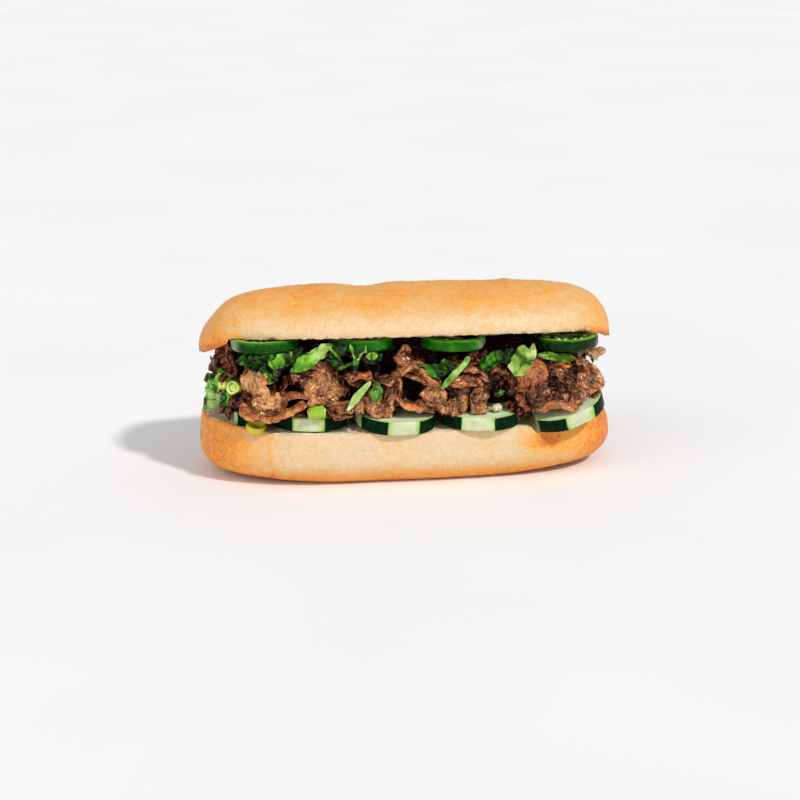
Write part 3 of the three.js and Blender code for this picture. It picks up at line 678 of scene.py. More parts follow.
def chilliSurface(spec, seed):
    # A coin with a lobed edge and a rounded side. Inside the wall both faces sink into three
    # chambers, which ribs at equal angles divide, and seeds stand in them as small domes.
    radius, half, rows = spec["radius"], chilli["thick"] / 2, chilli["rows"]
    # Stops: part of the radius, height and fineness, from one face round the edge to the other.
    stops = [(0, -half, 1), (0.8, -half, 1), (0.955, -half, 1), (0.985, -half + 0.35, 2),
             (1, -half + 1.1, 2), (1, half - 1.1, 1), (0.985, half - 0.35, 2), (0.955, half, 2),
             (0.8, half, 1), (0, half, 1)]
    stops = [(part * radius, z, part, fine) for part, z, fine in stops]
    reach, z, part, _ = alongPath(stops, rows)[:, :, None]
    reach[-1] = reach[0] = 0
    angle = 2 * np.pi * np.arange(chilli["columns"]) / chilli["columns"]
    lobed = 1 + 0.025 * np.cos(3 * angle + spec["lobe"]) + 0.02 * np.sin(2 * angle - spec["lobe"])
    x, y = reach * lobed * np.cos(angle), reach * lobed * np.sin(angle)
    side = np.where(np.arange(rows)[:, None] < rows / 2, -1, 1)
    rib = rises(np.cos(3 * angle + spec["lobe"]), 0.72, 0.95)
    sunk = rises(-part, -0.79, -0.7)
    hollow = sunk * (1 - rib * rises(-part, -0.7, -0.5)) * rises(part, 0.12, 0.3)
    away, value = cellNoise(stacked(x, y, side * 9.0 + 30 * seed), chilli["seedSize"], 81 + seed)
    seeds = (value > 0.35) * np.sqrt(np.clip(1 - (away / 0.36) ** 2, 0, 1)) * hollow
    points = stacked(x, y, z - side * (0.8 * hollow + 0.3 * sunk - 0.9 * seeds))
    relief = 0.08 * layeredNoise(points + [0, 0, 30 * seed], 3, 83, 2)
    points = pushed(points, relief * rises(reach, 0.5, 3))
    settled = points @ spec["matrix"].T + spec["place"]
    # A pale spot at the given angle is a painted reflection of the lamps on the glossy skin.
    turn = np.abs((angle - math.radians(spec.get("worn", 0)) + np.pi) % (2 * np.pi) - np.pi)
    worn = rises(-turn, -0.6, -0.15) * (0.9 if "worn" in spec else 0)
    # The top of the skin's side is painted lighter, as painted light falling on the top edge; the
    # value in the table is each skin's own lighter or darker green.
    bright = spec.get("bright", 0) + 0.22 * rises(z, half - 1.1, half)
    return {"points": onLid(settled), "rimPart": np.broadcast_to(part, x.shape),
            "seeds": rises(seeds, 0.1, 0.4), "hollow": hollow,
            "bright": np.broadcast_to(bright, x.shape), "worn": np.broadcast_to(worn, x.shape)}


def chilliFinish():
    # Glossy skin in clouds of two greens outside the wall, pale in a painted reflection and painted
    # lighter along the top of its side. Inside it flesh, yellower towards the middle, with chambers
    # painted darker as painted shade, and cream seeds.
    material, tree, where = newMaterial("greenChilli", Subsurface_Weight=0.1, Subsurface_Scale=0.002,
                                        Specular_IOR_Level=0.16)
    part = fieldOf(tree, "rimPart")
    cloud = noiseOf(tree, where, 240)
    streak = noiseOf(tree, stretched(tree, where, (1, 1, 0.3)), 700, 3, 0.6)
    shade = spanOf(tree, cloud, 0.3, 0.7, 0.4, 0.62)
    skin = rampOf(tree, plus(tree, shade, fieldOf(tree, "bright")), [
        (0.3, 1, 30, 1), (0.5, 6, 62, 1), (0.75, 36, 116, 1), (1.0, 120, 176, 30),
    ])
    # The painted reflection: the skin turns pale grey green there.
    worn = times(tree, fieldOf(tree, "worn"), spanOf(tree, streak, 0.3, 0.7, 0.6, 1))
    skin = mixOf(tree, worn, skin, linear(158, 186, 138))
    flesh = rampOf(tree, part, [
        (0.0, 176, 194, 120), (0.6, 120, 166, 56), (0.76, 116, 168, 40), (0.9, 128, 182, 36),
        (0.96, 60, 124, 10),
    ])
    # The chambers are painted darker: painted shade in the recesses.
    flesh = mixOf(tree, fieldOf(tree, "hollow"), flesh, linear(58, 104, 24))
    flesh = mixOf(tree, fieldOf(tree, "seeds"), flesh, linear(240, 228, 176))
    edge = plus(tree, part, swayOf(tree, streak, 0.006))
    return finished(material, {
        "Base Color": mixOf(tree, spanOf(tree, edge, 0.95, 0.975), flesh, skin),
        "Roughness": spanOf(tree, streak, 0.3, 0.7, 0.06, 0.2),
        "Normal": bumpOf(tree, cloud, 0.6, 0.7),
    })


# What lies in the roll gives way to the rounds, and the two halves give way to them as well.

def inRound(points, spec, thick, room=0.12):
    # The points in the round's own frame, half its thickness with some room, and which are in it.
    own = (points - spec["place"]) @ spec["matrix"]
    half = thick / 2 + room
    within = np.hypot(own[..., 0], own[..., 1]) < spec["radius"] + 0.1
    return own, half, within & (np.abs(own[..., 2]) < half)


def cleared(points):
    # A point inside a cucumber round is lifted onto it, a point inside a chilli round is put
    # down under it, and a point up in the lid comes down out of it.
    points = points.copy()
    for spec in cucumber["front"] + cucumber["back"]:
        own, half, inside = inRound(points, spec, cucumber["thick"])
        inside &= own[..., 0] > spec["cut"]
        points[..., 2] += np.where(inside, half - own[..., 2], 0)
    inLid = (points - lidPlace) @ lidTurn
    for spec in chilli["front"] + chilli["back"]:
        own, half, inside = inRound(inLid, spec, chilli["thick"])
        inLid[..., 2] -= np.where(inside, half + own[..., 2], 0)
    coverLength, coverWidth = lidRoll["covers"]
    covered = (np.abs(inLid[..., 0]) < coverLength) & (np.abs(inLid[..., 1]) < coverWidth)
    inLid[..., 2] = np.where(covered, np.minimum(inLid[..., 2], 0.2), inLid[..., 2])
    return onLid(inLid)


def dented(points, rounds, upwards):
    # A half of the roll is pressed in by the rounds that lie against it.
    points = points.copy()
    for spec in rounds["front"] + rounds["back"]:
        own = (points - spec["place"]) @ spec["matrix"]
        reach, half = np.hypot(own[..., 0], own[..., 1]), rounds["thick"] / 2 + 0.15
        near = rises(-reach, -spec["radius"] - 1.6, -spec["radius"] - 0.2)
        over = own[..., 2] + half if upwards else half - own[..., 2]
        move = near * np.clip(over, 0, 6)
        points[..., 2] += -move if upwards else move
    return points


# Thin bent slabs: beef, leaves and stalks are all made from them.

def slabSurface(spec, spacing, outline, thin=1.0, square=0.6):
    # Rows along the length and columns round a flattened section. The length is bent into an
    # arc that lifts both ends, its middle surface waves, and it narrows towards both ends.
    # Returns the points, and the place along, across and through the slab in millimetres.
    length, width, thick = spec["size"]
    phase = spec["phase"]
    rows = int(length / spacing) + 8
    columns = 2 * int((width + thick) / spacing) + 4
    even = np.linspace(-1, 1, rows)[:, None]
    u = 0.6 * even + 0.4 * np.sin(even * np.pi / 2)
    s = u / 2
    around = 2 * np.pi * np.arange(columns) / columns
    t = 0.5 * signedPower(np.cos(around), 0.8) * np.clip(1 - np.abs(u) ** 7, 0, 1) ** 0.5
    taper = 1 - spec["point"] * np.abs(u) ** 3 + 0.12 * np.sin(9 * s + phase)
    edge = np.maximum(np.abs(u), np.abs(2 * t))
    wave = spec["ripple"] * (np.sin(11 * s + 2 * phase) + 0.7 * np.sin(7 * t - phase))
    blunt = np.clip(1 - np.abs(u) ** 9, 0, 1) ** 0.5
    half = thin * (thick / 2) * np.sqrt(1 - 0.75 * edge ** 4) * blunt
    through = half * signedPower(np.sin(around), square)
    t = t * outline(s * length, t * width)
    bend = math.radians(spec["bend"])
    radius, angle, offset = length / bend, bend * s, wave + through
    height = radius * (1 - np.cos(angle)) + offset * np.cos(angle)
    points = stacked((radius - offset) * np.sin(angle), width * t * taper, height)
    return points, stacked(s * length, t * width, through)


def placed(points, spec):
    # Turned by its own turns, then about the vertical by its facing, then moved into place.
    matrix = turned([0, 0, spec.get("facing", 0)]) @ turned(spec["turn"])
    return points @ matrix.T + np.array(spec["at"])


# Beef. Slices that stand out at the front, slices round the ends and the back, and scraps.

beef = {
    "heapLength": 146,
    "heapWidth": 54,
    "courses": 3, # of slices round the ends and the back
    "perCourse": 8,
    "firstCourse": 7, # above the lower half
    "courseStep": 7.7,
    "openHalf": 62, # the stretch at the front where the courses leave out their slices
    "openFrom": -18,
    "spacing": 0.4, # between the points of a slice
    "relief": {"lumps": 0.55, "grains": 0.62, "fine": 0.22, "crease": -0.26},
    # How far each layer lightens or darkens the colour: painted light on the raised lumps, grains and
    # fine relief, painted shade in the creases, and paler meat at the edges. The deep shade is
    # painted shade further into the heap.
    "shade": {"lumps": 0.2, "grains": 0.4, "fine": 0.16, "edge": 0.1, "crease": -0.22},
    "deepShade": 0.6,
    "crumple": [(7, 1.4), (2.7, 0.45)], # size and reach
    "scraps": 270,
    "scrapLength": (4, 10),
    "scrapWidth": (0.35, 0.75), # of its length
    "scrapThick": (1.4, 2.6),
    "scrapTone": (0.2, 0.68),
    # Place, turn, size, bend and tone, then how red it is and its facing where they aren't 0.
    "front": [
        ((-72.5, -17, 48.5), (80, -50, 75), (17, 12, 4), 60, 0.32, 0.5),
        ((-74.5, -5, 41), (80, -80, 40), (18, 13, 4), 50, 0.3, 0.4),
        ((-67, -23.5, 34.5), (70, -20, 30), (10, 8, 3.4), 50, 0.3),
        ((-62.8, -27.2, 40.6), (0, 90, 0), (22, 12, 2.8), 120, 0.84, 0.1, 48),
        ((-57.5, -27, 47.6), (55, 0, -16), (13, 7, 3.2), 60, 0.5),
        ((-54.5, -30.2, 29.8), (28, -8, 0), (29, 7, 2.6), 62, 0.77, 0.6),
        ((-45.4, -29.8, 37.6), (20, -8, 0), (13, 5, 2.4), 20, 0.62, 0.5),
        ((-36, -29, 41.2), (72, 14, -36), (26, 17, 3.2), -62, 0.64),
        ((-29.3, -28.5, 30.6), (70, 0, -15), (11, 6, 4), 40, 0.5),
        ((-21, -27.5, 44.6), (70, 10, 20), (14, 8, 3.2), 70, 0.45),
        ((-21.8, -29, 33.4), (65, 0, 25), (12, 7, 4), 50, 0.58),
        ((-14.2, -29.5, 32), (72, 10, -20), (12, 8, 4.4), 60, 0.68),
        ((-9, -28.5, 38), (60, 0, 78), (18, 7, 3.4), -70, 0.62),
        ((-4.5, -28.5, 50.2), (80, 0, 80), (11, 7, 4), 40, 0.6),
        ((1.4, -28, 45.2), (42, 6, -14), (20, 10, 3.8), -70, 0.68),
        ((0, -29, 31.6), (20, 14, -6), (16, 8, 3), 30, 0.55),
        ((8, -29.5, 36), (75, -10, -66), (18, 9, 4.4), -60, 0.68),
        ((17, -29, 32.4), (75, 0, 60), (10, 8, 4.4), 50, 0.62),
        ((18.6, -29, 38.6), (60, 0, 14), (14, 7, 4.2), -50, 0.42),
        ((23.2, -28.5, 43.4), (50, 0, -24), (17, 8, 4), -60, 0.54),
        ((25.6, -29.5, 33), (80, 10, 82), (12, 8, 4.4), 50, 0.62),
        ((31.4, -27.5, 41), (75, 0, 70), (14, 8, 3.6), 90, 0.35),
        ((24.6, -27, 50.2), (55, 0, 14), (12, 7, 3.4), -40, 0.5),
        ((44.4, -28, 40.4), (80, -8, 62), (20, 16, 5), -60, 0.42),
        ((42.4, -28, 30.2), (70, 0, 72), (13, 8, 5), 40, 0.34, 0.3),
        ((54.4, -29.5, 34.6), (62, 6, 10), (24, 13, 5.5), -40, 0.34, -0.6),
        ((57, -26.5, 42.4), (70, 6, -6), (24, 13, 4.6), -50, 0.38, -0.4),
        ((67, -22.5, 37.8), (78, 28, 70), (18, 14, 5), -60, 0.5),
        ((54, -25, 48), (20, 4, 0), (24, 9, 2.4), -20, 0.36, -0.4),
        ((70.5, -18, 48.2), (10, 8, -16), (14, 8, 2.6), 24, 0.84, -0.9),
    ],
    "folds": [
        ((-58.6, -30, 46.8), (40, 24, 0), (9, 6, 2.4), -110, 0.78),
        ((-56.8, -30, 35.2), (58, 6, -14), (15, 7.5, 2.6), -36, 0.76),
        ((-51.6, -29.4, 41), (0, 90, 0), (9, 4, 2), 110, 0.5, 0.4, 20),
        ((-46.4, -30, 46), (45, -32, 0), (13, 7, 2.2), -60, 0.52),
        ((-64.4, -28.6, 32.4), (40, 20, 0), (8, 6, 2), 40, 0.66, 0.3),
        ((-28.5, -31, 32.2), (60, 10, 0), (9, 6, 3.2), 50, 0.6),
        ((-20.7, -31, 33), (70, 40, 20), (8, 7, 3.4), 60, 0.7),
        ((-14.8, -31, 30.4), (30, 20, 0), (8, 5, 2.6), -60, 0.6),
        ((-20.6, -30, 43.6), (40, -15, 0), (10, 5, 2.4), 70, 0.6, 0.4),
        ((-9.8, -30, 43.4), (30, -20, 0), (9, 5, 2.6), -50, 0.6),
        ((0.8, -29.5, 47.4), (8, 14, 0), (24, 9, 3.8), -150, 0.72, 0.3),
        ((-7, -30, 38.8), (10, -60, 0), (10, 6, 2.6), 90, 0.6),
        ((-3.4, -31, 32), (12, 18, 0), (15, 7, 2.6), 60, 0.7, 0.4),
        ((18.4, -31, 41.6), (32, -12, 0), (12, 7, 2.4), -30, 0.55),
        ((22, -30, 46.4), (24, 12, 0), (17, 7, 2.6), -80, 0.6, 0.3),
        ((33, -29.5, 44.4), (4, 10, 0), (10, 6, 2.6), -150, 0.35),
        ((45, -30.4, 42.6), (76, -8, 62), (15, 11, 4.4), -115, 0.62, 1.0),
        ((42, -30.5, 31), (40, 50, 0), (11, 6, 3), 80, 0.5, 1.0),
        ((53.6, -33.4, 30.4), (30, -10, 0), (18, 7, 2.6), -30, 0.66, 0.5),
        ((62.5, -31, 33), (50, -16, 10), (14, 8, 3.4), -40, 0.6),
        ((48.6, -32, 34), (60, 0, 30), (10, 7, 3.2), -50, 0.46, -0.5),
        ((70, -26, 34), (60, -30, 30), (10, 7, 3), -40, 0.62),
        ((67.6, -27.4, 38), (62, -16, 20), (15, 12, 3.4), -40, 0.66),
        ((58.6, -28.5, 47), (20, 24, 0), (8, 5, 2.2), -80, 0.6, 0.6),
        ((66.4, -27, 45.4), (30, 30, 0), (8, 5, 2.2), -60, 0.6, 0.4),
    ],
}
drawn = 20 # where the series of draws starts


def draw(low, high):
    # The next value of a fixed series: the last one times a large number, plus another.
    global drawn
    drawn = (drawn * 1664525 + 1013904223) % (wholeWord + 1)
    return low + (high - low) * (drawn / (wholeWord + 1))


def facingOut(x, y):
    # The way round, in degrees, that lays a slice along the side of the heap at that place.
    return math.degrees(math.atan2(y * 3.4, x)) + 90


def slicesAround():
    # Slices round the ends and the back of the heap in staggered courses that lean with the lid.
    lean = math.tan(math.radians(-lidRoll["turn"][0])) / 2.6
    power = 2 / roll["exponent"]
    specs = []
    for course in range(beef["courses"]):
        for i in range(beef["perCourse"]):
            angle = (i + course * 0.37 + draw(-0.15, 0.15)) / beef["perCourse"] * 2 * math.pi
            x = (beef["heapLength"] / 2 - 1) * float(signedPower(math.cos(angle), power))
            y = (beef["heapWidth"] / 2 - 0.5) * float(signedPower(math.sin(angle), power))
            if y < beef["openFrom"] and abs(x) < beef["openHalf"]:
                continue
            rise = beef["firstCourse"] + course * (beef["courseStep"] - y * lean)
            place = (x, y, bottomRoll["rim"] + rise + draw(-1, 1))
            turn = (draw(60, 95), draw(-18, 18), draw(-70, 70))
            size = (draw(15, 24), draw(8, 13), draw(3, 4.4))
            bend = draw(25, 80) * (-1 if draw(0, 1) < 0.6 else 1)
            ripple = draw(0.4, 0.8)
            spec = beefSpec(place, turn, size, bend, 0.56, 0.2 * course, facingOut(x, y))
            specs.append({**spec, "ripple": ripple})
    return specs


def beefSpec(place, turn, size, bend, tone, red=0, facing=0):
    # A row of the tables as a slice. Its waves start where it lies, so no two are alike.
    return {"at": place, "turn": turn, "size": size, "bend": bend, "tone": tone, "red": red,
            "facing": facing, "phase": place[0], "point": 0.35, "ripple": 0.5}


def beefSlice(spec, seed, spacing):
    # A slab with a ragged outline and a crumbly surface: broad lumps, grains that lie along the
    # slice, fine roughness, and creases where a soft noise crosses zero. It is crumpled by moving
    # every point by soft noises of two sizes. Its colour is painted lighter on its raised lumps and
    # grains and darker in its creases and further into the heap: painted light and shade.
    shift = np.array([0, 0, 37.0 * seed])

    def ragged(along, across):
        place = stacked(along, np.sign(across) * 5, 0) + shift
        return 0.94 + 0.3 * layeredNoise(place, 3.2, 91, 3) + 0.1 * softNoise(place, 0.9, 90)

    points, own = slabSurface(spec, spacing, ragged, 0.72, 0.42)
    own = own + shift
    points[..., 0] *= 1 + 0.1 * layeredNoise(own * [0, 1, 0.3] + shift, 1.8, 92, 2)
    bent = own + 0.7 * stacked(softNoise(own, 2.3, 93), softNoise(own, 2.3, 94), 0)
    away, value = cellNoise(bent * [0.75, 1, 1], 1.5, 97)
    layers = {
        "lumps": layeredNoise(own, 4.6, 95, 3),
        "grains": np.clip(0.62 - away, -0.35, 0.6) * (0.6 + 0.4 * value),
        "fine": layeredNoise(own, 1.1, 96, 2),
        "crease": hump(softNoise(bent * [0.55, 1, 1], 2.1, 89), 0, 0.13),
        "edge": rises(np.abs(own[..., 1]) / spec["size"][1], 0.34, 0.48),
    }
    points = pushed(points, sum(beef["relief"][name] * layers[name] for name in beef["relief"]))
    for size, amount in beef["crumple"]:
        warp = [softNoise(points + shift + 50 * k, size, 98 + k) for k in range(3)]
        points = points + amount * stacked(*warp)
    points = cleared(placed(points, spec))
    # Painted light and shade: the tone follows the relief, and is darker further into the heap.
    shade = sum(beef["shade"][name] * layers[name] for name in beef["shade"])
    tone = spec["tone"] - 0.06 + shade - beef["deepShade"] * depthInside(points)
    red = spec["red"] + 0.3 * layers["edge"] + 0.35 * layers["lumps"]
    return {"points": points, "tone": tone, "red": red, "grain": own}


def depthInside(points):
    # From 0 at the outside of the filling, a squared-off ellipse, to 1 some millimetres in.
    power, halfLength, halfWidth = roll["exponent"], 77, 33
    part = (np.abs(points[..., 0]) / halfLength) ** power
    part = part + (np.abs(points[..., 1]) / halfWidth) ** power
    return rises((1 - part ** (1 / power)) * halfWidth, 1.5, 8)


def beefCore():
    # A lumpy mound under the tilted lid: a path from the middle of its floor, out and up its
    # side, and in across its top, carried round the plan outline.
    halfLength, halfWidth = beef["heapLength"] / 2 - 3, beef["heapWidth"] / 2 - 4.5
    # Stops: inset, part of the height and fineness.
    stops = [(halfWidth, 0, 0.3), (3, 0, 0.3), (1.5, 0.35, 8), (3, 0.8, 8), (6, 1, 3),
             (halfWidth, 1, 0.3)]
    inset, level, _ = alongPath(stops, 60)[:, :, None]
    along, across = planOutline(300, roll["exponent"], halfLength, halfWidth)
    x, y = (halfLength - inset) * along, (halfWidth - inset) * across
    floor = bottomRoll["rim"] + 0.9
    ceiling = lidRoll["height"] + 1 + y * math.tan(math.radians(lidRoll["turn"][0]))
    points = stacked(x, y, floor + (ceiling - floor) * level)
    lumps = layeredNoise(points, 6, 101, 3) + 0.5 * layeredNoise(points, 2.2, 103, 2)
    points = cleared(pushed(points, (1.5 * lumps - 1) * rises(-points[..., 2], -46, -42)))
    # The core is coloured near black and plum: painted shade in the deep gaps between the slices.
    return {"points": points, "tone": 0.1 + 0.2 * lumps, "red": 0.5 * lumps - 0.5, "grain": points}


def beefScraps(random):
    # Small scraps between the slices, strewn round the heap and most of them at the front.
    halfLength, halfWidth = beef["heapLength"] / 2, beef["heapWidth"] / 2
    grids = []
    for i in range(beef["scraps"]):
        angle = random.uniform(-1, 1) * np.pi
        inward = random.uniform(-1, 3.5)
        x = (halfLength - inward) * float(signedPower(np.cos(angle), 0.74))
        y = (halfWidth - inward) * float(signedPower(np.sin(angle), 0.6))
        place = (x, y, random.uniform(28, 49.5 - 0.19 * y))
        turn = (random.uniform(50, 100), random.uniform(-30, 30), random.uniform(-90, 90))
        length = random.uniform(*beef["scrapLength"])
        width = length * random.uniform(*beef["scrapWidth"])
        size = (length, width, random.uniform(*beef["scrapThick"]))
        bend = random.uniform(20, 140) * random.choice([-1, 1])
        tone, red = random.uniform(*beef["scrapTone"]), random.uniform(-0.3, 0.9)
        spec = beefSpec(place, turn, size, bend, tone, red, facingOut(x, y))
        grids.append(beefSlice(spec, 200 + i, 0.5))
    return grids


def beefFinish():
    # Near black to pale brown by tone, with plum and seared red patches, each coarse crumb and
    # fine granule painted lighter on its raised top, which is painted light. A thin wet coat lies in
    # patches on the lighter meat.
    material, tree, where = newMaterial("brownedBeef", Coat_Roughness=0.09, Subsurface_Weight=0.04,
                                        Subsurface_Scale=0.002)
    grain = stretched(tree, fieldOf(tree, "grain", "Vector"), (0.75, 1, 1))
    bent = addNode(tree, "TexNoise", {"Vector": grain, "Scale": 0.8}).outputs["Color"]
    grain = addNode(tree, "VectorMath", {0: grain, 1: bent}, operation="ADD").outputs[0]
    crumbs = addNode(tree, "TexVoronoi", {"Vector": grain, "Scale": 1.0}).outputs["Distance"]
    crumbs = spanOf(tree, crumbs, 0.0, 0.8, 1.0, 0.0)
    granule = noiseOf(tree, where, 1500, 3, 0.65)
    patch = noiseOf(tree, where, 190)
    tone = fieldOf(tree, "tone")
    # Crumbs and granules: painted light on their raised tops; the patch noise is the meat's own tone.
    for layer, reach in ((crumbs, 0.06), (granule, 0.17), (patch, 0.1)):
        tone = plus(tree, tone, swayOf(tree, layer, reach))
    colour = rampOf(tree, tone, [
        (0.0, 13, 7, 6), (0.2, 46, 20, 8), (0.42, 116, 62, 26), (0.64, 182, 112, 52),
        (0.9, 250, 190, 122),
    ])
    seared = rampOf(tree, tone, [
        (0.0, 24, 8, 6), (0.25, 88, 32, 12), (0.55, 168, 80, 30), (1.0, 228, 144, 72),
    ])
    plum = rampOf(tree, tone, [(0.0, 12, 6, 10), (0.4, 96, 58, 50), (0.8, 176, 124, 104)])
    red = plus(tree, fieldOf(tree, "red"), spanOf(tree, patch, 0.35, 0.65, -0.35, 0.35))
    colour = mixOf(tree, spanOf(tree, red, -0.2, -0.6, 0, 0.6), colour, plum)
    colour = mixOf(tree, spanOf(tree, red, 0.1, 0.8, 0, 0.9), colour, seared)
    film = spanOf(tree, noiseOf(tree, where, 300, 2, 0.5), 0.39, 0.48)
    fine = bumpOf(tree, granule, 0.6, 0.9)
    return finished(material, {
        "Base Color": colour,
        "Coat Weight": times(tree, film, spanOf(tree, tone, 0.25, 0.5)),
        "Specular IOR Level": spanOf(tree, tone, 0.1, 0.5, 0.01, 0.4),
        "Roughness": spanOf(tree, patch, 0.35, 0.65, 0.4, 0.65),
        "Normal": bumpOf(tree, crumbs, 0.4, 0.8, fine),
        "Coat Normal": bumpOf(tree, granule, 0.15, 0.5),
    })


# Leaves and stalks.

herb = {
    "spacing": 0.34,
    "lobe": 0.1, # how deep the swings of a leaf's edge are
    "vein": 0.06,
    "crease": 0.16,
    # Place, turn, size, bend and ripple, then what sets it apart: stalks, how much of the pale
    # underside shows, where along the leaf it starts to, and how light or pointed it is.
    "front": [
        ((-78.3, -12, 34.5), (75, -60, 70), (15, 8, 0.9), 70, 0.5, {"pale": 0.3, "tone": 0.5}),
        ((-73.4, -19.5, 42.4), (80, -40, 20), (10, 6, 0.9), 80, 0.4, {"pale": 0.2, "tone": 0.4}),
        ((-57.5, -27.5, 51.9), (55, 0, 4), (24, 6.5, 0.9), 30, 0.7),
        ((-57.3, -31.5, 46.8), (80, 10, -38), (9, 4, 0.9), 60, 0.3),
        ((-40.3, -32, 52.8), (75, 5, 31), (20, 6, 0.9), -50, 0.5,
         {"pale": 0.95, "paleFrom": 0, "tone": 0.3}),
        ((-23.4, -31, 51), (90, 0, 84), (10, 2.4, 1.3), 20, 0.1, {"stalk": True}),
        ((-16.8, -30.5, 51.4), (70, 10, 20), (8, 5, 0.9), 60, 0.4),
        ((-22.8, -33.4, 37.6), (85, 0, 50), (15, 3.2, 1.1), 50, 0.2,
         {"pale": 0.9, "stalk": True, "point": 0.62}),
        ((-15.6, -33.2, 38.8), (80, 20, 75), (8, 6, 0.9), -60, 0.5, {"pale": 0.3}),
        ((7.5, -32.4, 46), (65, 0, -8), (10, 5.5, 0.9), 50, 0.4),
        ((15.3, -32.6, 44.9), (85, 0, 47), (17, 3, 1.1), -30, 0.3,
         {"pale": 0.7, "stalk": True, "tone": 0.16}),
        ((29.7, -31, 49), (70, 0, 30), (12, 6, 0.9), 70, 0.6),
        ((41, -31.8, 48.2), (80, -15, 70), (13, 9, 0.9), 60, 0.9, {"pale": 1, "tone": 0.2}),
        ((55.4, -30, 49.2), (60, 0, -9), (15, 3.6, 0.9), 25, 0.3, {"pale": 0.9, "tone": 0.1}),
        ((64.1, -29, 31.5), (80, 20, 30), (5, 3, 0.9), 50, 0.2, {"pale": 0.4}),
    ],
    "back": [
        ((-55, 27, 43), (-80, 0, 30), (18, 7, 0.9), 50, 0.6),
        ((-24, 30, 39), (-85, 0, -40), (15, 5, 1.1), -40, 0.4, {"pale": 0.6}),
        ((6, 30, 42), (-75, 0, 15), (17, 8, 0.9), 60, 0.7),
        ((34, 30, 38), (-85, 10, 60), (13, 4, 1.1), 30, 0.3, {"stalk": True, "pale": 0.5}),
        ((58, 26, 41), (-80, 15, -20), (17, 8, 0.9), 50, 0.6),
        ((77, 4, 42), (80, 75, 40), (13, 7, 0.9), 60, 0.5),
    ],
    # Smaller ones: place, turn, length and width, then how pale and whether it is a stalk.
    "small": [
        ((-59.6, -30.5, 53.4), (60, 0, 10), 12, 6),
        ((-52.7, -31, 52.2), (70, 10, 30), 11, 6, 0.2),
        ((-55.8, -30.5, 50.4), (50, 0, -10), 14, 5),
        ((-46.5, -30, 53), (60, 0, 50), 9, 5),
        ((-63.4, -28.5, 50), (60, 10, -30), 8, 4.5),
        ((-30.8, -30, 54.4), (60, 0, 20), 9, 5),
        ((-31.6, -30, 50.4), (80, 0, -20), 8, 4),
        ((-31.6, -31.5, 54), (90, 0, -50), 7, 1, 0.6, True),
        ((-24.8, -31, 54.6), (90, 0, 108), 6, 1.3, 0.3, True),
        ((-21.2, -31, 53.8), (90, 0, 58), 7, 1.3, 0.3, True),
        ((-27, -30.5, 48.8), (80, 0, 20), 8, 1.6, 0.5, True),
        ((-17.4, -31, 52.4), (70, 20, 0), 5, 3.4, 0.2),
        ((1.1, -32, 48.6), (90, 0, -6), 9, 1.2, 0.3, True),
        ((12.4, -31.5, 48), (70, 0, -30), 7, 4, 0.1),
        ((32.9, -30.5, 35.6), (70, 0, 20), 4.5, 2.4, 0.1),
        ((36, -31, 50.5), (70, 20, 60), 7, 4),
        ((45.5, -31, 51.5), (80, 0, 85), 8, 3, 0.6),
        ((-75, -17.5, 43.6), (80, -50, 20), 8, 5),
        ((-76.5, -15, 38.4), (80, -60, -30), 9, 5),
        ((-72.4, -20.5, 34.8), (75, -30, 40), 8, 5),
        ((-78.4, -9, 40), (80, -70, 10), 8, 5, 0.3),
        ((-44, 28.6, 46), (-75, 0, -20), 9, 5),
        ((-14, 29.6, 36), (-85, 0, 70), 8, 4, 0.2),
        ((-2, 30.2, 36.6), (-80, 0, 30), 10, 1.6, 0.5, True),
        ((20, 30, 43), (-75, 10, -30), 9, 5),
        ((46, 29, 43), (-80, 0, 50), 9, 5, 0.1),
        ((-76.5, 12, 40), (80, 100, 20), 10, 6),
        ((75.5, -8, 44), (80, 60, -20), 9, 5, 0.2),
        ((76, 12, 36), (80, 100, 20), 8, 5),
    ],
}


def leafSpec(place, turn, size, bend, ripple, apart=None):
    # A row of the tables as a leaf or a stalk.
    plain = {"at": place, "turn": turn, "size": size, "bend": bend, "ripple": ripple}
    return {**plain, **(apart or {})}


def sprigSpec(place, turn, length, width, pale=0, stalk=False):
    # Two tones, dealt out by a sine of the place.
    tone = 0.1 + 0.5 * (math.sin(5 * place[0]) > 0.2)
    apart = {"pale": pale, "stalk": stalk, "tone": tone}
    return leafSpec(place, turn, (length, width, 0.9), 50, 0.4, apart)


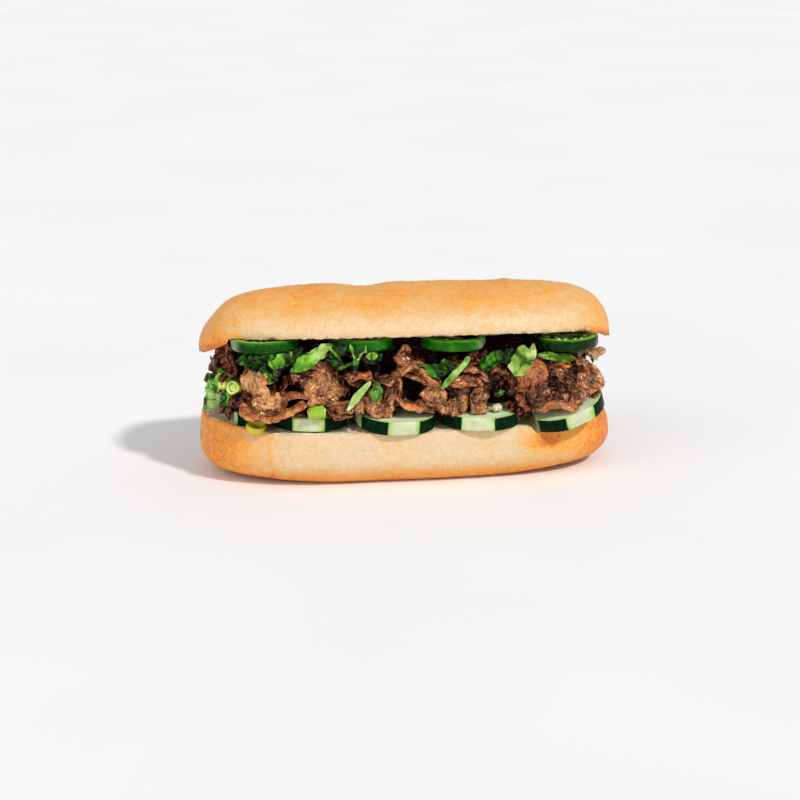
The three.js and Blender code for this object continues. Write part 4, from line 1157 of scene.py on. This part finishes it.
def herbSurface(spec, seed):
    # A leaf's edge swings in and out in lobes with small teeth, its surface is raised over the
    # veins and folded in creases, and its sides crumple. A stalk is ribbed along its length.
    stalk, pale = spec.get("stalk", False), spec.get("pale", 0)
    spec = {"phase": spec["at"][0], "point": 0.25 if stalk else 0.7, **spec}
    length = spec["size"][0]
    lobes, lobe = max(2, round(length / 4)), herb["lobe"]

    def edge(along, across):
        place = stacked(along, np.sign(across) * 5, 11.0 * seed)
        ragged = layeredNoise(place, 1.6, 111, 2)
        if stalk:
            return 0.9 + 0.2 * ragged
        turns = (along / length + 0.5) * lobes + 0.25 * np.sign(across) + 0.3 * seed
        teeth = 0.05 * np.abs(np.sin(along * 3 + seed))
        return 0.92 - lobe + lobe * np.abs(np.sin(np.pi * turns)) ** 0.7 + teeth + 0.16 * ragged

    points, own = slabSurface(spec, herb["spacing"], edge, 0.8 if stalk else 0.42, 0.8)
    along, across = own[..., 0] / length, own[..., 1] / spec["size"][1]
    side = ((along * lobes * 1.5 - np.abs(across) * 2.2) % 1 - 0.5) * 2
    veins = np.maximum(hump(across, 0, 0.06), 0.7 * hump(np.abs(side), 1, 0.16))
    if stalk:
        veins = 0.5 + 0.5 * np.cos(across * 18)
    crumple = layeredNoise(own + [0, 0, 23.0 * seed], 3.2, 113, 2)
    crease = hump(softNoise(own * [1, 1, 0] + 17.0 * seed, 3.6, 115), 0, 0.1) * (not stalk)
    relief = herb["vein"] * veins - herb["crease"] * crease
    points = pushed(points, relief * np.sign(own[..., 2]))
    points[..., 2] += (0.1 if stalk else 0.6) * crumple
    # Painted light and shade: lighter where the leaf crumples up, darker in its creases; the pale
    # underside and the tone of each leaf are their own colours.
    tone = spec.get("tone", 0.3) + 0.5 * crumple + 0.4 * pale - 0.55 * crease
    paleFrom = spec.get("paleFrom", -2)
    return {"points": cleared(placed(points, spec)), "veins": veins * (0.4 if stalk else 1),
            "tone": tone, "pale": pale * rises(along, paleFrom - 0.1, paleFrom + 0.1)}


def herbFinish():
    # The deep green of the upper side or the grey green of the underside, each by tone, with
    # paler veins. A glossy coat lies in patches on the lighter parts.
    material, tree, where = newMaterial("herbLeaf", Subsurface_Weight=0.1, Subsurface_Scale=0.001,
                                        Specular_IOR_Level=0.1, Coat_Roughness=0.1)
    cloud = noiseOf(tree, where, 420, 3, 0.6)
    tone = plus(tree, fieldOf(tree, "tone"), swayOf(tree, cloud, 0.15))
    top = rampOf(tree, tone, [
        (0.0, 1, 9, 1), (0.25, 7, 46, 1), (0.55, 52, 136, 4), (1.0, 156, 206, 48),
    ])
    under = rampOf(tree, tone, [
        (0.0, 50, 92, 10), (0.4, 124, 164, 52), (0.75, 178, 204, 118), (1.0, 214, 226, 174),
    ])
    veins = fieldOf(tree, "veins")
    colour = mixOf(tree, fieldOf(tree, "pale"), top, under)
    colour = mixOf(tree, times(tree, veins, 0.1), colour, linear(176, 210, 100))
    gloss = spanOf(tree, noiseOf(tree, where, 210, 2, 0.5), 0.42, 0.54, 0, 0.6)
    fine = bumpOf(tree, cloud, 0.15, 0.5)
    return finished(material, {
        "Base Color": colour,
        "Coat Weight": times(tree, gloss, spanOf(tree, tone, 0.1, 0.5, 0.2, 1)),
        "Roughness": spanOf(tree, cloud, 0.3, 0.7, 0.28, 0.5),
        "Normal": bumpOf(tree, veins, 0.12, 0.5, fine),
    })


# Spring onion rings and the bit of garlic.

onion = [
    {"at": [-61.8, -24, 23.6], "turn": [10, 4, 0], "radius": 3.9, "wall": 1.4, "height": 2.6,
     "yellow": 0.9},
    {"at": [-38.7, -30.4, 30.4], "turn": [0, 86, 4], "radius": 2.3, "wall": 1, "height": 7},
    {"at": [-69.9, -22, 39.4], "turn": [70, -30, 0], "radius": 2.9, "wall": 1.3, "height": 3.2},
    {"at": [-48, 29, 30.6], "turn": [6, 0, 0], "radius": 3.8, "wall": 1.3, "height": 2.8},
    {"at": [20, 30.8, 30.8], "turn": [10, 8, 0], "radius": 3.4, "wall": 1.2, "height": 3.2},
]
onionBits = [
    {"at": [-39, -30.4, 32.2], "turn": [0, 84, -8], "radius": 1.5, "wall": 0.7, "height": 5.6},
    {"at": [-73.6, -19.6, 40.2], "turn": [60, -40, 0], "radius": 2.3, "wall": 1.9, "height": 3.2},
    {"at": [-69.9, -22.2, 39.4], "turn": [70, -30, 0], "radius": 1.7, "wall": 1.6, "height": 2.6},
]
garlic = {
    "at": [32.2, -29.5, 29.5], "turn": [20, 10, 30], "size": [4, 3, 2.4], "bend": 10, "ripple": 0,
    "phase": 0, "point": 0.35, "spacing": 0.16, "rough": 0.22,
}


def onionSurface(spec, seed, rows=96, columns=40):
    # A section with rounded corners carried once round the stalk. Both its walls waver, and a
    # groove in each end shows where one layer lies in the next. Rows go round the stalk.
    around = 2 * np.pi * np.arange(rows + 1)[:, None] / rows
    turn = 2 * np.pi * np.arange(columns) / columns
    across, up = signedPower(np.cos(turn), 0.5), signedPower(np.sin(turn), 0.5)
    groove = 0.22 * hump(across, 0.1, 0.16) * np.sign(up) * (np.abs(up) > 0.9)
    waver = 0.16 * np.sin(3 * around + seed) + 0.1 * np.sin(5 * around + 2 * seed)
    middle = spec["radius"] - spec["wall"] / 2
    reach = middle + across * spec["wall"] * 0.48 + waver * 0.8
    height = up * spec["height"] * 0.49 - groove + 0.1 * np.sin(2 * around + seed)
    ring = stacked(reach * np.cos(around), reach * np.sin(around), height)
    ring[-1] = ring[0]
    ring = ring[::-1]
    return {"points": placed(ring, spec), "layer": np.broadcast_to(across, reach.shape),
            "yellow": np.full(reach.shape, float(spec.get("yellow", 0)))}


def onionFinish():
    # Cream inside the ring to green outside, in streaks, and yellow where it has wilted.
    material, tree, where = newMaterial("springOnion", Roughness=0.25, Coat_Weight=0.3,
                                        Coat_Roughness=0.12, Subsurface_Weight=0.2,
                                        Subsurface_Scale=0.002)
    streak = noiseOf(tree, where, 900, 3, 0.6)
    layer = plus(tree, fieldOf(tree, "layer"), swayOf(tree, streak, 0.3))
    colour = rampOf(tree, spanOf(tree, layer, -1, 1), [
        (0.0, 240, 240, 170), (0.45, 216, 226, 100), (0.8, 184, 210, 60), (1.0, 150, 190, 44),
    ])
    return finished(material, {
        "Base Color": mixOf(tree, fieldOf(tree, "yellow"), colour, linear(214, 204, 30)),
        "Normal": bumpOf(tree, streak, 0.15, 0.5),
    })


def garlicSurface():
    # A blunt nugget with a coarse broken surface.
    points, own = slabSurface(garlic, garlic["spacing"], lambda along, across: 1 + 0 * across)
    points = pushed(points, garlic["rough"] * layeredNoise(own, 1.4, 131, 3))
    return {"points": placed(points, garlic)}


def garlicFinish():
    # Ivory with paler clouds.
    material, tree, where = newMaterial("choppedGarlic", Roughness=0.4, Subsurface_Weight=0.2,
                                        Subsurface_Scale=0.002)
    cloud = noiseOf(tree, where, 900, 3, 0.6)
    return finished(material, {
        "Base Color": rampOf(tree, cloud, [(0.3, 206, 180, 136), (0.7, 240, 228, 200)]),
        "Normal": bumpOf(tree, cloud, 0.2, 0.5),
    })


# Putting the sandwich together.

bread = crustFinish()
surface = bottomSurface()
surface["points"] = dented(surface["points"], cucumber, True)
makePiece("lowerHalf", [surface], bread, ["roll_bottom"])
surface = lidSurface()
surface["points"] = onLid(dented(surface["points"], chilli, False))
makePiece("upperHalf", [surface], bread, ["roll_lid"])

flesh, peppers = cucumberFinish(), chilliFinish()
for side in ("front", "back"):
    makeEach(f"cucumberRound_{side}", cucumber[side], cucumberSurface, flesh,
             f"cucumber_{side}")
    makeEach(f"chilliRound_{side}", chilli[side], chilliSurface, peppers,
             f"chilli_{side}")

meat = beefFinish()
makePiece("beefCore", [beefCore()], meat, ["beef_heap"])
front, folds, spacing = beef["front"], beef["folds"], beef["spacing"]
slices = [beefSlice(beefSpec(*row), i, spacing) for i, row in enumerate(front)]
folds = [beefSlice(beefSpec(*row), 120 + i, spacing) for i, row in enumerate(folds)]
around = [beefSlice(spec, 60 + i, spacing * 1.2) for i, spec in enumerate(slicesAround())]
scraps = beefScraps(np.random.default_rng(5))
for name, grids in (("beefSlicesLeft", slices[:14]), ("beefSlicesRight", slices[14:]),
                    ("beefFolds", folds), ("beefSlicesAround", around),
                    ("beefScrapsA", scraps[::2]), ("beefScrapsB", scraps[1::2])):
    makePiece(name, grids, meat)

leaf = herbFinish()
for side in ("front", "back"):
    leaves = [leafSpec(*row) for row in herb[side]]
    makeEach(f"herbLeaf_{side}", leaves, herbSurface, leaf, f"herb_{side}")
sprigs = [herbSurface(sprigSpec(*row), 30 + i) for i, row in enumerate(herb["small"])]
makePiece("herbSprigs", sprigs, leaf)

stalkRings = onionFinish()
makeEach("onionSlice", onion, onionSurface, stalkRings, "onion_ring")
bits = [onionSurface(spec, 9 + i) for i, spec in enumerate(onionBits)]
makePiece("onionBits", bits, stalkRings)
makePiece("garlicNugget", [garlicSurface()], garlicFinish(), ["garlic_bit"])


# Floor, light and camera.

studio = {
    "aim": (-0.002, 0, 0.0255),
    "azimuth": -8,
    "elevation": 16,
    "distance": 0.85,
    "lens": 95.03,
    "sensor": 36,
    "near": 0.01,
    "floor": 30, # metres across
    # Where each sun stands, its width in degrees, its strength and its colour.
    "suns": {
        "keyLight": ((0.42, -0.56, 0.7), 5, 1.9, (1, 0.985, 0.965)),
        "fillLight": ((-0.7, -0.55, 0.36), 60, 0.7, (1, 1, 1)),
    },
    "surround": 0.53, # the strength of the white all round
}


def floorPlane():
    # White paper with faint clouds.
    bpy.ops.mesh.primitive_plane_add(size=studio["floor"])
    floor = bpy.context.object
    floor.name = "studioFloor"
    material, tree, where = newMaterial("studioPaper", Roughness=0.7)
    cloud = noiseOf(tree, where, 8, 2, 0.5)
    colour = rampOf(tree, cloud, [(0.3, 244, 244, 245), (0.7, 248, 248, 249)])
    floor.data.materials.append(finished(material, {"Base Color": colour}))


def sunLight(name, direction, width, strength, colour):
    light = bpy.data.lights.new(name, "SUN")
    light.angle = math.radians(width)
    light.energy = strength
    light.color = colour
    made = bpy.data.objects.new(name, light)
    made.rotation_euler = Vector(direction).to_track_quat("Z", "Y").to_euler()
    bpy.context.scene.collection.objects.link(made)


floorPlane()
for name, settings in studio["suns"].items():
    sunLight(name, *settings)

world = bpy.data.worlds.new("studioWhite")
world.use_nodes = True
world.node_tree.nodes["Background"].inputs["Color"].default_value = (1, 1, 1, 1)
world.node_tree.nodes["Background"].inputs["Strength"].default_value = studio["surround"]
bpy.context.scene.world = world
bpy.context.scene.view_settings.view_transform = "Standard"

azimuth, elevation = math.radians(studio["azimuth"]), math.radians(studio["elevation"])
back = Vector((math.sin(azimuth) * math.cos(elevation), -math.cos(azimuth) * math.cos(elevation),
                  math.sin(elevation)))
lens = bpy.data.cameras.new("camera")
lens.lens = studio["lens"]
lens.sensor_width = studio["sensor"]
lens.clip_start = studio["near"]
camera = bpy.data.objects.new("camera", lens)
camera.location = Vector(studio["aim"]) + back * studio["distance"]
camera.rotation_euler = back.to_track_quat("Z", "Y").to_euler()
bpy.context.scene.collection.objects.link(camera)
bpy.context.scene.camera = camera
print("floor, light and camera in place")
